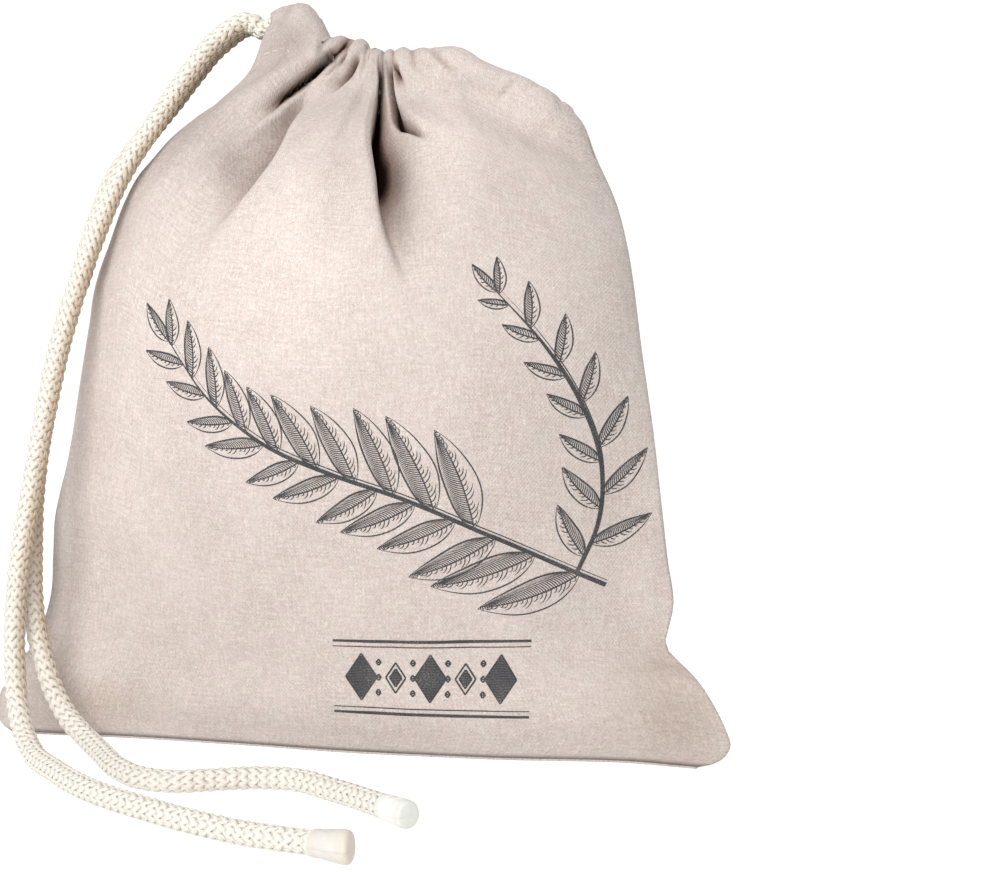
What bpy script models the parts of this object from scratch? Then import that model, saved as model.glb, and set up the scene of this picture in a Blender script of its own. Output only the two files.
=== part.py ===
"""Linen bread bag, standing filled out and drawn half closed.

Two flat linen panels are sewn together down both sides and across the bottom.
Each panel's top is folded over into a casing, and one round cotton cord runs
through both casings, with both ends hanging from the left. The bag stands on
its back panel, which turns forward under it to the bottom seam, and the two
bottom corners stick out as ears.

Sizes are in millimetres, with X across the bag, Y from front to back and Z up.
"""

import math
from collections import namedtuple

import bpy
import numpy as np

MM = 0.001

# Cloth
CLOTH = 1.6
SEAM_GAP = 0.3
SEAM_FACE = CLOTH + SEAM_GAP / 2  # from the seam to a panel's outer face
CLAMP = SEAM_GAP / 2 + 0.03  # from the seam to a panel's inner face, at the nearest

# Casing, from the middle of the cord in it
CASING_DROP = 12.0  # down to the line of stitching
CASING_RADIUS = 6.4  # out to the outer face

# Cord
CORD_RADIUS = 4.0
CORD_SIDES = 8
TIP_RADIUS = 4.7
TIP_FLARE = 5.3
TIP_LENGTH = 12.0
TIP_SIDES = 16
JOIN_X = -33.0  # where the stretch in the casings ends and the tails begin

# The height of a side edge of the flat pattern, and how far left or right it is
Edge = namedtuple("Edge", "height x")
LEFT_TOP = 252.5
LEFT_EDGE = [
    Edge(0, -127.0),
    Edge(2, -130.5),
    Edge(6, -133.0),
    Edge(12, -133.0),
    Edge(18, -130.5),
    Edge(25, -127.0),
    Edge(32, -122.0),
    Edge(39, -120.0),
    Edge(50, -120.5),
    Edge(76, -121.5),
    Edge(102, -119.5),
    Edge(130, -115.5),
    Edge(155, -110.5),
    Edge(186, -101.0),
    Edge(206, -92.0),
    Edge(217, -83.4),
    Edge(227, -74.0),
    Edge(235, -63.6),
    Edge(243, -54.4),
    Edge(LEFT_TOP, -42.0),
]
RIGHT_TOP = 216.5
RIGHT_EDGE = [
    Edge(0, 128.0),
    Edge(1.5, 133.5),
    Edge(4, 137.5),
    Edge(8, 139.6),
    Edge(12, 138.2),
    Edge(20, 134.0),
    Edge(26, 130.0),
    Edge(34, 122.0),
    Edge(39, 117.0),
    Edge(50, 117.2),
    Edge(66, 115.0),
    Edge(84, 112.7),
    Edge(112, 109.0),
    Edge(141, 104.4),
    Edge(175, 99.4),
    Edge(194, 94.7),
    Edge(209, 88.5),
    Edge(RIGHT_TOP, 84.0),
]

# How far back the side seams lie, by height
Seam = namedtuple("Seam", "height y")
SEAMS = [
    Seam(0, -42.0),
    Seam(15, -38.0),
    Seam(40, -25.0),
    Seam(80, -8.0),
    Seam(140, 0.0),
    Seam(200, 6.0),
    Seam(235, 14.0),
    Seam(275, 14.0),
]

# How far the bottom seam bows forward, by how far across it is. The bow fades out
# at BOW_HEIGHT.
Bow = namedtuple("Bow", "x forward")
BOWS = [
    Bow(-134, 0.0),
    Bow(-88, 0.5),
    Bow(-40, 4.0),
    Bow(10, 9.0),
    Bow(54, 10.0),
    Bow(100, 7.5),
    Bow(128, 11.5),
    Bow(140, 13.0),
]
BOW_HEIGHT = 70.0

# Sections up the bag. level is 0 at the floor and 1 at the stitching below the
# casing. front and back are how far the panels swell out from the seam, and
# a panel's swell across the bag is (1 - |across| ** blunt) ** fall.
Section = namedtuple("Section", "level front back blunt fall")
SECTIONS = [
    Section(0.000, 0.0, 69.0, 2.6, 1.50),
    Section(0.006, 0.8, 74.0, 2.6, 1.50),
    Section(0.017, 2.0, 78.5, 2.6, 1.50),
    Section(0.038, 4.7, 83.0, 2.6, 1.48),
    Section(0.062, 8.0, 85.5, 2.6, 1.45),
    Section(0.084, 11.2, 85.0, 2.6, 1.42),
    Section(0.170, 26.0, 77.5, 2.5, 1.25),
    Section(0.253, 39.0, 70.0, 2.4, 1.08),
    Section(0.340, 49.5, 64.5, 2.3, 0.90),
    Section(0.464, 56.5, 61.0, 2.3, 0.74),
    Section(0.590, 59.0, 58.0, 2.2, 0.64),
    Section(0.717, 58.0, 53.0, 2.2, 0.60),
    Section(0.844, 50.0, 42.0, 2.2, 0.58),
    Section(0.930, 38.0, 29.0, 2.2, 0.58),
    Section(0.980, 22.0, 16.0, 2.2, 0.58),
    Section(1.000, 12.2, 12.2, 2.2, 0.58),
]
WALL_LEVELS = (
    0.0, 0.008, 0.02, 0.038, 0.062, 0.09, 0.118, 0.145, 0.18, 0.235, 0.32, 0.42, 0.52,
    0.61, 0.69, 0.75, 0.80, 0.84, 0.875, 0.905, 0.93, 0.952, 0.975, 1.0,
)
FLOOR_STEPS = 5
BASE_TOP = CLOTH + SEAM_GAP  # what the front panel's bottom edge stands on
FLOOR_EDGE = 0.2  # how far the base runs past its last column of points

# The cord's middle in the front casing, by how far across the cloth it is. half
# is its distance in front of the side seams, and neck is how far outward of it
# the stitching lies. The back casing is the front one's mirror image.
NECK = 0.9  # where the cord draws the cloth tight
Mouth = namedtuple("Mouth", "across x half height neck")
MOUTH = [
    Mouth(-1.00, -38.0, 6.9, 265.8, 4.2),
    Mouth(-0.90, -32.5, 7.6, 266.9, 4.6),
    Mouth(-0.80, -27.0, 8.6, 266.4, 4.6),
    Mouth(-0.70, -21.5, 10.0, 262.0, 3.4),
    Mouth(-0.60, -15.5, 11.0, 255.3, 1.6),
    Mouth(-0.50, -9.5, 12.0, 251.2, NECK),
    Mouth(-0.20, 1.5, 13.0, 249.2, NECK),
    Mouth(0.20, 13.0, 13.0, 249.5, 1.2),
    Mouth(0.35, 22.0, 13.0, 250.0, 3.4),
    Mouth(0.50, 34.0, 13.0, 248.8, 5.0),
    Mouth(0.58, 41.0, 13.0, 245.6, 5.4),
    Mouth(0.68, 49.0, 12.6, 242.2, 5.6),
    Mouth(0.78, 57.0, 11.8, 239.0, 6.0),
    Mouth(0.88, 65.5, 10.0, 234.8, 7.4),
    Mouth(0.94, 70.0, 7.4, 231.6, 9.0),
    Mouth(0.98, 72.2, 4.0, 229.8, 10.0),
    Mouth(1.00, 72.6, SEAM_FACE, 229.5, 10.4),
]

# The casing's outer face round the cord, from the stitching up over the cord
# and down inside to the hem's free edge
Turn = namedtuple("Turn", "out up")
CASING = [Turn(2.6, -9.0), Turn(5.3, -5.0)]
CASING += [
    Turn(CASING_RADIUS * math.cos(math.radians(a)), CASING_RADIUS * math.sin(math.radians(a)))
    for a in (0, 36, 72, 108, 144, 180)
]
CASING += [Turn(-5.7, -3.8), Turn(-4.2, -7.4), Turn(-2.5, -10.4)]

# Folds of a panel below the casing. Each runs down through three points of
# (x, height), and its width and depth are those of its trough.
Fold = namedtuple("Fold", "top middle foot top_width foot_width depth")
FRONT_FOLDS = [
    Fold((-15, 244), (-28, 228), (-64, 182), 4.6, 14.0, 12.0),
    Fold((-9, 241), (-14, 233), (-19, 225), 3.0, 5.5, 3.5),
    Fold((4, 243), (3, 224), (8, 162), 3.6, 9.0, 10.0),
    Fold((12, 242), (17, 228), (28, 214), 3.2, 6.5, 6.0),
    Fold((34, 238), (47, 233), (58, 226), 4.0, 9.0, 2.0),
    Fold((-44, 240), (-62, 214), (-78, 182), 5.0, 14.0, 2.5),
]
BACK_FOLDS = [
    Fold((-20, 244), (-36, 222), (-58, 178), 4.4, 13.0, 8.0),
    Fold((-6, 240), (-11, 222), (-22, 174), 3.6, 9.0, 8.5),
    Fold((7, 240), (9, 218), (12, 166), 3.8, 10.0, 9.0),
    Fold((24, 240), (34, 220), (48, 172), 4.2, 11.0, 7.5),
    Fold((48, 234), (60, 216), (72, 182), 5.0, 12.0, 5.0),
]

# Gathers round the casing: ridges a pleat apart, tallest where the cord draws
# the cloth tight
PLEAT_PITCH = 6.4
PLEAT_HEIGHT = 1.5
PLEAT_MIDDLE = 1.0
PLEAT_SPREAD = 17.0
PLEAT_TURNS = 8

# Columns of points across a panel
FRONT_COLUMNS = 54
BACK_COLUMNS = 36
EDGE_CROWDING = 0.45

# The tails' middles, from the casing's left end to the tips
TAIL_A_ROUTE = [
    (-45.5, 6.5, 265.0),
    (-56.0, 2.0, 258.8),
    (-65.5, -2.0, 247.0),
    (-72.0, -6.0, 236.5),
    (-78.0, -10.0, 226.0),
    (-83.0, -14.0, 217.5),
    (-89.0, -19.0, 205.5),
    (-93.0, -23.0, 194.5),
    (-96.5, -26.0, 184.0),
    (-100.0, -29.5, 172.5),
    (-103.5, -33.0, 159.0),
    (-106.5, -37.0, 145.0),
    (-109.5, -42.0, 126.0),
    (-112.0, -47.0, 107.0),
    (-114.0, -51.5, 89.0),
    (-116.0, -55.0, 72.5),
    (-117.0, -58.5, 56.0),
    (-117.0, -61.5, 40.0),
    (-116.0, -64.0, 27.5),
    (-114.0, -67.0, 16.5),
    (-110.0, -72.0, 8.5),
    (-103.5, -81.0, 4.6),
    (-88.0, -100.0, 4.1),
    (-68.0, -120.0, 4.1),
    (-46.0, -135.0, 4.1),
    (-25.0, -147.0, 4.1),
    (-4.0, -156.5, 4.2),
    (9.5, -162.0, 4.9),
    (19.5, -166.0, 5.5),
]
TAIL_B_ROUTE = [
    (-47.5, 18.5, 265.0),
    (-58.0, 14.0, 258.2),
    (-67.5, 9.0, 246.5),
    (-74.0, 4.5, 236.5),
    (-81.0, 0.0, 226.5),
    (-87.5, -4.0, 217.5),
    (-94.5, -9.5, 205.5),
    (-98.3, -13.5, 194.0),
    (-101.3, -16.5, 183.5),
    (-103.5, -19.5, 172.0),
    (-107.5, -23.5, 158.5),
    (-110.5, -28.0, 144.0),
    (-113.5, -33.0, 125.0),
    (-115.5, -37.5, 106.0),
    (-116.5, -41.5, 87.5),
    (-116.0, -45.0, 70.5),
    (-115.0, -48.5, 54.5),
    (-112.0, -52.5, 40.0),
    (-108.0, -55.5, 29.5),
    (-103.5, -57.5, 19.0),
    (-97.0, -61.0, 11.0),
    (-89.0, -67.0, 6.6),
    (-79.0, -78.5, 4.5),
    (-67.0, -95.0, 4.1),
    (-55.0, -105.0, 4.1),
    (-43.0, -107.0, 4.1),
    (-30.0, -103.0, 4.1),
    (-17.0, -99.0, 4.1),
    (-4.0, -99.5, 4.1),
    (10.0, -108.5, 4.3),
    (22.5, -119.0, 4.9),
    (33.0, -129.0, 5.5),
]
TAIL_STEP = 6.2
HELD_STEP = 4.0
SQUARE_LENGTH = 1.0


def smooth_line(places, values, at):
    """Reads a smooth line through (places, values) that never overshoots its points."""
    places = np.asarray(places, float)
    values = np.asarray(values, float)
    step = np.diff(places)
    slope = np.diff(values) / step
    same_way = slope[:-1] * slope[1:] > 0
    safe = np.where(same_way, slope[:-1] * slope[1:], 1.0)
    first = 2 * step[1:] + step[:-1]
    second = step[1:] + 2 * step[:-1]
    tangent = np.empty(len(values))
    mean = (first + second) * safe / (first * slope[1:] + second * slope[:-1] + (~same_way))
    tangent[1:-1] = np.where(same_way, mean, 0.0)
    tangent[0] = slope[0]
    tangent[-1] = slope[-1]
    at = np.clip(at, places[0], places[-1])
    k = np.clip(np.searchsorted(places, at, side="right") - 1, 0, len(step) - 1)
    t = (at - places[k]) / step[k]
    along = step[k] * (t * (1 - t) ** 2 * tangent[k] - t**2 * (1 - t) * tangent[k + 1])
    return values[k] * (1 + 2 * t) * (1 - t) ** 2 + values[k + 1] * t**2 * (3 - 2 * t) + along


def read_table(rows, column, at):
    """Reads one column of a table at places in its first column."""
    return smooth_line([row[0] for row in rows], [getattr(row, column) for row in rows], at)


def ease(at, start, end):
    """Rises smoothly from 0 at start to 1 at end."""
    t = np.clip((at - start) / (end - start), 0.0, 1.0)
    return t * t * (3 - 2 * t)


def unit(vectors):
    return vectors / np.linalg.norm(vectors, axis=-1, keepdims=True)


def columns_across(count):
    """Places across a panel from -1 to 1, closer together towards its sides."""
    even = np.linspace(-1.0, 1.0, count + 1)
    return (1 - EDGE_CROWDING) * even + EDGE_CROWDING * np.sin(even * math.pi / 2)


def seam_y(x, height):
    """How far back the seams lie."""
    bow = read_table(BOWS, "forward", x) * (1 - ease(height, 0.0, BOW_HEIGHT))
    return read_table(SEAMS, "y", height) - bow


def mouth_points(across, side):
    """The cord's middle in one casing. side is -1 at the front and 1 at the back."""
    x = read_table(MOUTH, "x", across)
    height = read_table(MOUTH, "height", across)
    y = seam_y(x, height) + side * read_table(MOUTH, "half", across)
    return np.stack([x, y, height], -1)


def mouth_frames(across, side):
    """The cord's middle, with the outward and upward directions of its casing."""
    middle = mouth_points(across, side)
    ahead = unit(np.gradient(middle, axis=0))
    ahead[-1] = (0.0, -side, 0.0)
    level = np.cross(ahead, (0.0, 0.0, 1.0))
    out = unit(level) * -side
    up = unit(np.cross(out, ahead)) * -side
    return middle, out, up


def wall_points(across, level, side):
    """A panel's outer face below its casing, before its folds."""
    stitch_height = read_table(MOUTH, "height", across) - CASING_DROP
    height = level * stitch_height
    left = read_table(LEFT_EDGE, "x", level * LEFT_TOP)
    right = read_table(RIGHT_EDGE, "x", level * RIGHT_TOP)
    mouth_x = read_table(MOUTH, "x", across)
    gathered = 2 * (mouth_x - MOUTH[0].x) / (MOUTH[-1].x - MOUTH[0].x) - 1
    drawn = smooth_line((0.0, 0.5, 0.75, 0.9, 1.0), (0.0, 0.0, 0.14, 0.42, 1.0), level)
    place = (1 - drawn) * across + drawn * gathered
    x = left + (right - left) * (place + 1) / 2
    swell = read_table(SECTIONS, "front" if side < 0 else "back", level)
    blunt = read_table(SECTIONS, "blunt", level)
    fall = read_table(SECTIONS, "fall", level)
    crown = (1 - np.abs(place) ** blunt) ** fall
    y = seam_y(x, height) + side * (SEAM_FACE + swell * crown)
    return np.stack([x, y, height], -1)


def fold_depth(points, folds):
    """How far the folds push a wall's points inward."""
    x = points[..., 0]
    height = points[..., 2]
    depth = np.zeros(x.shape)
    for fold in folds:
        route = sorted((fold.top[::-1], fold.middle[::-1], fold.foot[::-1]))
        middle = smooth_line([p[0] for p in route], [p[1] for p in route], height)
        along = (fold.top[1] - height) / (fold.top[1] - fold.foot[1])
        width = fold.top_width + (fold.foot_width - fold.top_width) * np.clip(along, 0, 1)
        rise = ease(along, -0.05, 0.3) * (1 - ease(along, 0.45, 1.12))
        depth += fold.depth * rise * np.exp(-(((x - middle) / width) ** 2))
    return depth


def pleat_height(x):
    """How far the gathers stand out from the casing."""
    tight = np.exp(-(((x - PLEAT_MIDDLE) / PLEAT_SPREAD) ** 2))
    ripple = 0.5 - 0.5 * np.cos(2 * math.pi * (x - PLEAT_MIDDLE) / PLEAT_PITCH)
    return PLEAT_HEIGHT * (0.15 + 0.85 * tight) * ripple


def face_offsets(grid, side, thickness):
    """From each point of an outer face to the inner face, mitred where rows turn."""
    along = np.gradient(grid, axis=1)
    step = np.diff(grid, axis=0)
    before = unit(np.cross(along, np.concatenate([step[:1], step])))
    after = unit(np.cross(along, np.concatenate([step, step[-1:]])))
    turn = np.maximum((before * after).sum(-1, keepdims=True), -0.1)
    return side * thickness * (before + after) / (1 + turn)


def casing_points(across, side):
    """Rows of the casing's outer face, and of the way its gathers push it."""
    middle, out, up = mouth_frames(across, side)
    spare = read_table(MOUTH, "neck", across)[:, None] - NECK
    pleats = pleat_height(middle[:, 0])[:, None]
    rows = []
    pushes = []
    for i, turn in enumerate(CASING):
        wider = spare * max(0.0, 1 - (i + 1) / 5)
        rows.append(middle + out * (turn.out + wider) + up * turn.up)
        away = unit(np.array([max(turn.out, 0.01), max(turn.up, 0.0)]))
        ridge = max(0.0, math.sin(math.pi * (i + 1) / PLEAT_TURNS)) if i < PLEAT_TURNS else 0.0
        pushes.append((out * away[0] + up * away[1]) * pleats * ridge)
    return np.stack(rows), np.stack(pushes)


def panel_faces(side, columns, folds):
    """A panel's outer and inner faces, from its bottom edge to the hem's edge."""
    across = columns_across(columns)
    levels = np.array(WALL_LEVELS)
    wall = np.stack([wall_points(across, np.full(across.shape, level), side) for level in levels])
    middle, out, up = mouth_frames(across, side)
    neck = read_table(MOUTH, "neck", across)[:, None]
    stitching = middle + out * neck - up * CASING_DROP
    share = ease(levels, 0.86, 1.0)[:, None, None] ** 1.6
    wall = wall + share * (stitching - wall[-1])
    floor_rows = 0
    if side > 0:
        floor_rows = FLOOR_STEPS
        front_edge = wall[0].copy()
        front_edge[:, 1] = seam_y(front_edge[:, 0], 0.0) - SEAM_FACE
        shares = np.linspace(0.0, 1.0, FLOOR_STEPS + 1)[:-1, None, None]
        wall = np.concatenate([front_edge + shares * (wall[0] - front_edge), wall])
        levels = np.concatenate([np.zeros(FLOOR_STEPS), levels])
    else:
        wall[..., 2] += BASE_TOP * (1 - ease(wall[..., 2], 0.0, BOW_HEIGHT))
    casing, pushes = casing_points(across, side)
    plain = np.concatenate([wall, casing])
    levels = np.concatenate([levels, 1.0 + np.arange(1, len(CASING) + 1)])
    offsets = face_offsets(plain, side, CLOTH)
    calm = 1 - ease(levels, 0.95, 1.0)
    depth = fold_depth(plain, folds) * calm[:, None]
    moved = unit(offsets) * depth[..., None]
    moved[len(wall) :] = pushes
    outer = plain + moved
    inner = outer + offsets
    if side > 0:
        inner[: floor_rows + 1, :, 2] = CLOTH
        inner[: floor_rows + 1, :, 0] = outer[: floor_rows + 1, :, 0]
        inner[:floor_rows, :, 1] = outer[:floor_rows, :, 1]
    else:
        inner[..., 2] = np.maximum(inner[..., 2], BASE_TOP + 0.01 * np.arange(len(inner))[:, None])
        inner[0, :, 2] = BASE_TOP
    for grid in (outer, inner):
        nearest = seam_y(grid[..., 0], grid[..., 2]) + side * CLAMP
        held = np.minimum(grid[..., 1], nearest) if side < 0 else np.maximum(grid[..., 1], nearest)
        grid[floor_rows:, :, 1] = held[floor_rows:]
    slit = ease(levels, 0.9, 1.0)[:, None]
    return [with_seam_edges(grid, side, slit, floor_rows) for grid in (outer, inner)]


def with_seam_edges(grid, side, slit, floor_rows):
    """Adds a column at each side, on the seam. At the top left, where the cord
    comes out, the seam is open and the column is the casing's cut end instead."""
    edges = []
    for column, end in ((0, -1), (-1, 1)):
        edge = grid[:, column].copy()
        edge[:, 1] = seam_y(edge[:, 0], edge[:, 2]) + side * SEAM_GAP / 2
        edge[:floor_rows] = grid[:floor_rows, column] + (end * FLOOR_EDGE, 0.0, 0.0)
        if end < 0:
            cut = grid[:, column] - (CLOTH, 0.0, 0.0)
            edge += slit * (cut - edge)
        edges.append(edge[:, None])
    return np.concatenate([edges[0], grid, edges[1]], axis=1)


def sheet_mesh(name, outer, inner, side):
    """One closed mesh from an outer and an inner grid of the same size. Both are cut
    into triangles the same way, so that the inner one stays inside."""
    rows, columns = outer.shape[:2]
    count = rows * columns
    index = np.arange(count).reshape(rows, columns)
    low = (index[:-1, :-1], index[:-1, 1:], index[1:, 1:])
    high = (index[:-1, :-1], index[1:, 1:], index[1:, :-1])
    skin = np.concatenate([np.stack(half, -1).reshape(-1, 3) for half in (low, high)])
    faces = [*skin, *(skin[:, ::-1] + count)]
    rims = (index[0], index[:, -1], index[-1][::-1], index[:, 0][::-1])
    for rim in rims:
        for a, b in zip(rim[:-1], rim[1:]):
            faces.append((b, a, a + count, b + count))
    if side > 0:
        faces = [tuple(face)[::-1] for face in faces]
    points = np.concatenate([outer.reshape(-1, 3), inner.reshape(-1, 3)]) * MM
    mesh = bpy.data.meshes.new(name)
    mesh.from_pydata([tuple(map(float, p)) for p in points], [], [tuple(map(int, f)) for f in faces])
    mesh.polygons.foreach_set("use_smooth", [True] * len(mesh.polygons))
    mesh.update()
    return mesh


def material(name, colour, roughness):
    """A Principled material of one colour."""
    made = bpy.data.materials.new(name)
    made.use_nodes = True
    shader = made.node_tree.nodes["Principled BSDF"]
    shader.inputs["Base Color"].default_value = (*colour, 1.0)
    shader.inputs["Roughness"].default_value = roughness
    shader.inputs["Metallic"].default_value = 0.0
    return made


def add_object(name, data, finish):
    """Links an object of this data and material to the scene."""
    data.materials.append(finish)
    made = bpy.data.objects.new(name, data)
    bpy.context.scene.collection.objects.link(made)
    return made


def add_panel(name, side, columns, folds):
    """One linen panel: side is -1 for the front and 1 for the back."""
    outer, inner = panel_faces(side, columns, folds)
    mesh = sheet_mesh(name, outer, inner, side)
    return add_object(name, mesh, material(name + "_linen", (0.69, 0.61, 0.53), 0.9))


def smooth_route(points, step):
    """Points a step apart on a smooth curve through a route."""
    points = np.asarray(points, float)
    lengths = np.linalg.norm(np.diff(points, axis=0), axis=1)
    places = np.concatenate([[0.0], np.cumsum(lengths)])
    slopes = np.gradient(points, places, axis=0)
    at = np.linspace(0.0, places[-1], round(places[-1] / step) + 1)
    k = np.clip(np.searchsorted(places, at, side="right") - 1, 0, len(lengths) - 1)
    span = lengths[k][:, None]
    t = ((at - places[k]) / lengths[k])[:, None]
    blend = points[k] * (1 + 2 * t) * (1 - t) ** 2 + points[k + 1] * t**2 * (3 - 2 * t)
    return blend + span * (t * (1 - t) ** 2 * slopes[k] - t**2 * (1 - t) * slopes[k + 1])


def add_cord(name, points):
    """A round cord along these points."""
    curve = bpy.data.curves.new(name, "CURVE")
    curve.dimensions = "3D"
    curve.bevel_depth = CORD_RADIUS * MM
    curve.bevel_resolution = CORD_SIDES // 2 - 2
    curve.use_fill_caps = True
    line = curve.splines.new("POLY")
    line.points.add(len(points) - 1)
    for spot, place in zip(line.points, points):
        spot.co = (*(place * MM), 1.0)
    return add_object(name, curve, material(name + "_cotton", (0.93, 0.89, 0.81), 0.85))


def casing_cord_points():
    """The cord's middle from the left end of the front casing round to the back one's."""
    across = np.linspace(-1.0, 1.0, 61)
    front = mouth_points(across, -1)
    turn = np.array([[MOUTH[-1].x + 0.1, SEAMS[-1].y, MOUTH[-1].height]])
    back = mouth_points(across[::-1], 1)
    return np.concatenate([front, turn, back])


def split_casing_cord():
    """The stretch held in the casings, and the two short ends that lead out of them."""
    points = casing_cord_points()
    held = points[:, 0] >= JOIN_X
    first = np.argmax(held)
    last = len(points) - np.argmax(held[::-1]) - 1
    ends = []
    for inside, outside in ((first, first - 1), (last, last + 1)):
        share = (points[inside, 0] - JOIN_X) / (points[inside, 0] - points[outside, 0])
        ends.append(points[inside] + share * (points[outside] - points[inside]))
    stretch = np.concatenate([ends[:1], points[first : last + 1], ends[1:]])
    return stretch, points[:first][::-1], points[last + 1 :]


def squared(points, ahead):
    """Starts a route with a short straight stretch, so that its end faces straight back."""
    return np.concatenate([points[:1], points[:1] + ahead * SQUARE_LENGTH, points[1:]])


def held_points(stretch):
    """The held stretch's middle, squared at both ends."""
    points = smooth_route(stretch, HELD_STEP)
    for _ in range(2):
        points = squared(points, unit(points[1] - points[0]))[::-1]
    return points


def tail_points(join, inside, lead, route):
    """A tail's middle, from its join with the held stretch to its tip."""
    away = unit(join - inside)
    start = join + away * SEAM_GAP
    line = smooth_route(np.concatenate([[start], lead[-1:], np.array(route)]), TAIL_STEP)
    return squared(line, away)


def add_tip(name, end, before):
    """The dipped end cap of a tail: a short round plug that flares a little."""
    ahead = unit(end - before)
    start = end + ahead * SEAM_GAP
    stations = ((0.0, TIP_RADIUS), (0.7, TIP_FLARE), (1.0, TIP_RADIUS))
    sideways = unit(np.cross(ahead, (0.0, 0.0, 1.0)))
    upward = np.cross(sideways, ahead)
    turns = np.arange(TIP_SIDES) * (2 * math.pi / TIP_SIDES)
    ring = np.cos(turns)[:, None] * sideways + np.sin(turns)[:, None] * upward
    points = [start + ahead * (TIP_LENGTH * share) + ring * radius for share, radius in stations]
    index = np.arange(len(stations) * TIP_SIDES).reshape(len(stations), TIP_SIDES)
    faces = [tuple(map(int, index[0])), tuple(map(int, index[-1][::-1]))]
    for low, high in zip(index[:-1], index[1:]):
        sides = zip(np.roll(low, -1), low, high, np.roll(high, -1))
        faces.extend(tuple(map(int, side)) for side in sides)
    mesh = bpy.data.meshes.new(name)
    mesh.from_pydata([tuple(map(float, p * MM)) for p in np.concatenate(points)], [], faces)
    mesh.polygons.foreach_set("use_smooth", [True] * len(mesh.polygons))
    mesh.update()
    return add_object(name, mesh, material(name + "_dip", (0.93, 0.85, 0.74), 0.6))


def main():
    for old in list(bpy.data.objects):
        bpy.data.objects.remove(old)
    add_panel("front_panel", -1, FRONT_COLUMNS, FRONT_FOLDS)
    add_panel("back_panel", 1, BACK_COLUMNS, BACK_FOLDS)
    stretch, front_lead, back_lead = split_casing_cord()
    held = held_points(stretch)
    add_cord("drawcord", held)
    tails = (
        ("a", held[:2], front_lead, TAIL_A_ROUTE),
        ("b", held[:-3:-1], back_lead, TAIL_B_ROUTE),
    )
    for letter, (join, inside), lead, route in tails:
        points = tail_points(join, inside, lead, route)
        add_cord("cord_tail_" + letter, points)
        add_tip("cord_tip_" + letter, points[-1], points[-2])


main()
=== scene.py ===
"""Dresses a linen drawstring bread bag around its fixed frame.

The bag is two linen panels sewn down both sides and across the bottom, each
with its top folded over into a casing, and one braided cotton cord that runs
through both casings and hangs from their left ends. Tables are in millimetres,
with X across the bag, Y from front to back and Z up.
"""

from __future__ import annotations

import logging
import math
from dataclasses import dataclass, field
from enum import Enum
from typing import NamedTuple, Sequence

import bpy
import numpy as np
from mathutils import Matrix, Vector
from mathutils.bvhtree import BVHTree


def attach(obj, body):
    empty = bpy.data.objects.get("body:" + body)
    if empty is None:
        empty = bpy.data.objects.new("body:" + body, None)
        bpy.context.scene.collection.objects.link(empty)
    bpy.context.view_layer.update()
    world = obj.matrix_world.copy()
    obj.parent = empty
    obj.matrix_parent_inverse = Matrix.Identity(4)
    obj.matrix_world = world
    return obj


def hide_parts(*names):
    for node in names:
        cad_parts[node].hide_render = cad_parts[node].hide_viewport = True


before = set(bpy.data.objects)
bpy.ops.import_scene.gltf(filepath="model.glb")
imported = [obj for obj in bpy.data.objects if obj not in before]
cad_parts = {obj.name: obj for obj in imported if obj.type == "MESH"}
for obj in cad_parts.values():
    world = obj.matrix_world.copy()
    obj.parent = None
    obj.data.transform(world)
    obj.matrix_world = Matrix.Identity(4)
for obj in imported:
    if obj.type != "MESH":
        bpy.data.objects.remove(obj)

log = logging.getLogger("bread_bag")

MM = 0.001
Pair = tuple[float, float]
Triple = tuple[float, float, float]
Colour = Triple
Array = np.ndarray
Piece = bpy.types.Object
Material = bpy.types.Material
Socket = bpy.types.NodeSocket


class Side(Enum):
    """Which of the two panels a thing belongs to, as the sign of its Y."""

    FRONT = -1
    BACK = 1


class Lay(Enum):
    """Which way round a cord its strands are laid."""

    LEFT = -1
    RIGHT = 1


# ---- The bag's cut


class Edge(NamedTuple):
    """How far left or right a side seam lies at a height of the flat pattern."""

    height: float
    x: float


class Seam(NamedTuple):
    """How far back the side seams lie at a height."""

    height: float
    y: float


class Bow(NamedTuple):
    """How far forward the bottom seam bows at a place across the bag."""

    x: float
    forward: float


class Section(NamedTuple):
    """How far both panels swell out at a level of the bag, and how bluntly."""

    level: float
    front: float
    back: float
    blunt: float
    fall: float


class Mouth(NamedTuple):
    """Where the cord's middle runs in the front casing, by place across the cloth."""

    across: float
    x: float
    half: float
    height: float
    neck: float


class Neck(NamedTuple):
    """How far the ridges between the folds stand out where the casing is stitched."""

    across: float
    out: float


class Turn(NamedTuple):
    """A point of the casing's section, measured from the middle of its cord."""

    out: float
    up: float


def make_table(kind: type[NamedTuple], *values: tuple[float, ...]) -> tuple[NamedTuple, ...]:
    """A table whose rows are all of one kind."""
    return tuple(kind(*row) for row in values)


LEFT_EDGE = make_table(
    Edge,
    (0, -127), (2, -130.5), (6, -133), (12, -133), (18, -130.5), (25, -127), (32, -122), (39, -120),
    (50, -118.8), (63, -120.2), (76, -121.2), (87, -119.6), (97, -117.4), (112, -114.9), (123, -113.2),
    (134, -111.4), (153, -108.2), (165, -106.2), (186, -98.9), (206, -91.2), (217, -82.9), (227, -73.4),
    (235, -62.4), (243, -53.2), (252.5, -44.2),
)
RIGHT_EDGE = make_table(
    Edge,
    (0, 128), (1.5, 133.5), (4, 137.5), (8, 139.6), (12, 138.2), (20, 133.6), (27.5, 127.4), (32, 121.9),
    (35, 117.8), (38.5, 115.4), (43, 116.4), (51, 117.9), (66, 115.2), (84, 112.7), (112, 109),
    (141, 104.4), (175, 99.4), (194, 94.7), (209, 88.5), (216.5, 84),
)
SEAMS = make_table(
    Seam,
    (0, -42), (15, -38), (40, -25), (80, -8), (140, 0), (200, 6), (235, 14), (275, 14),
)
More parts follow.
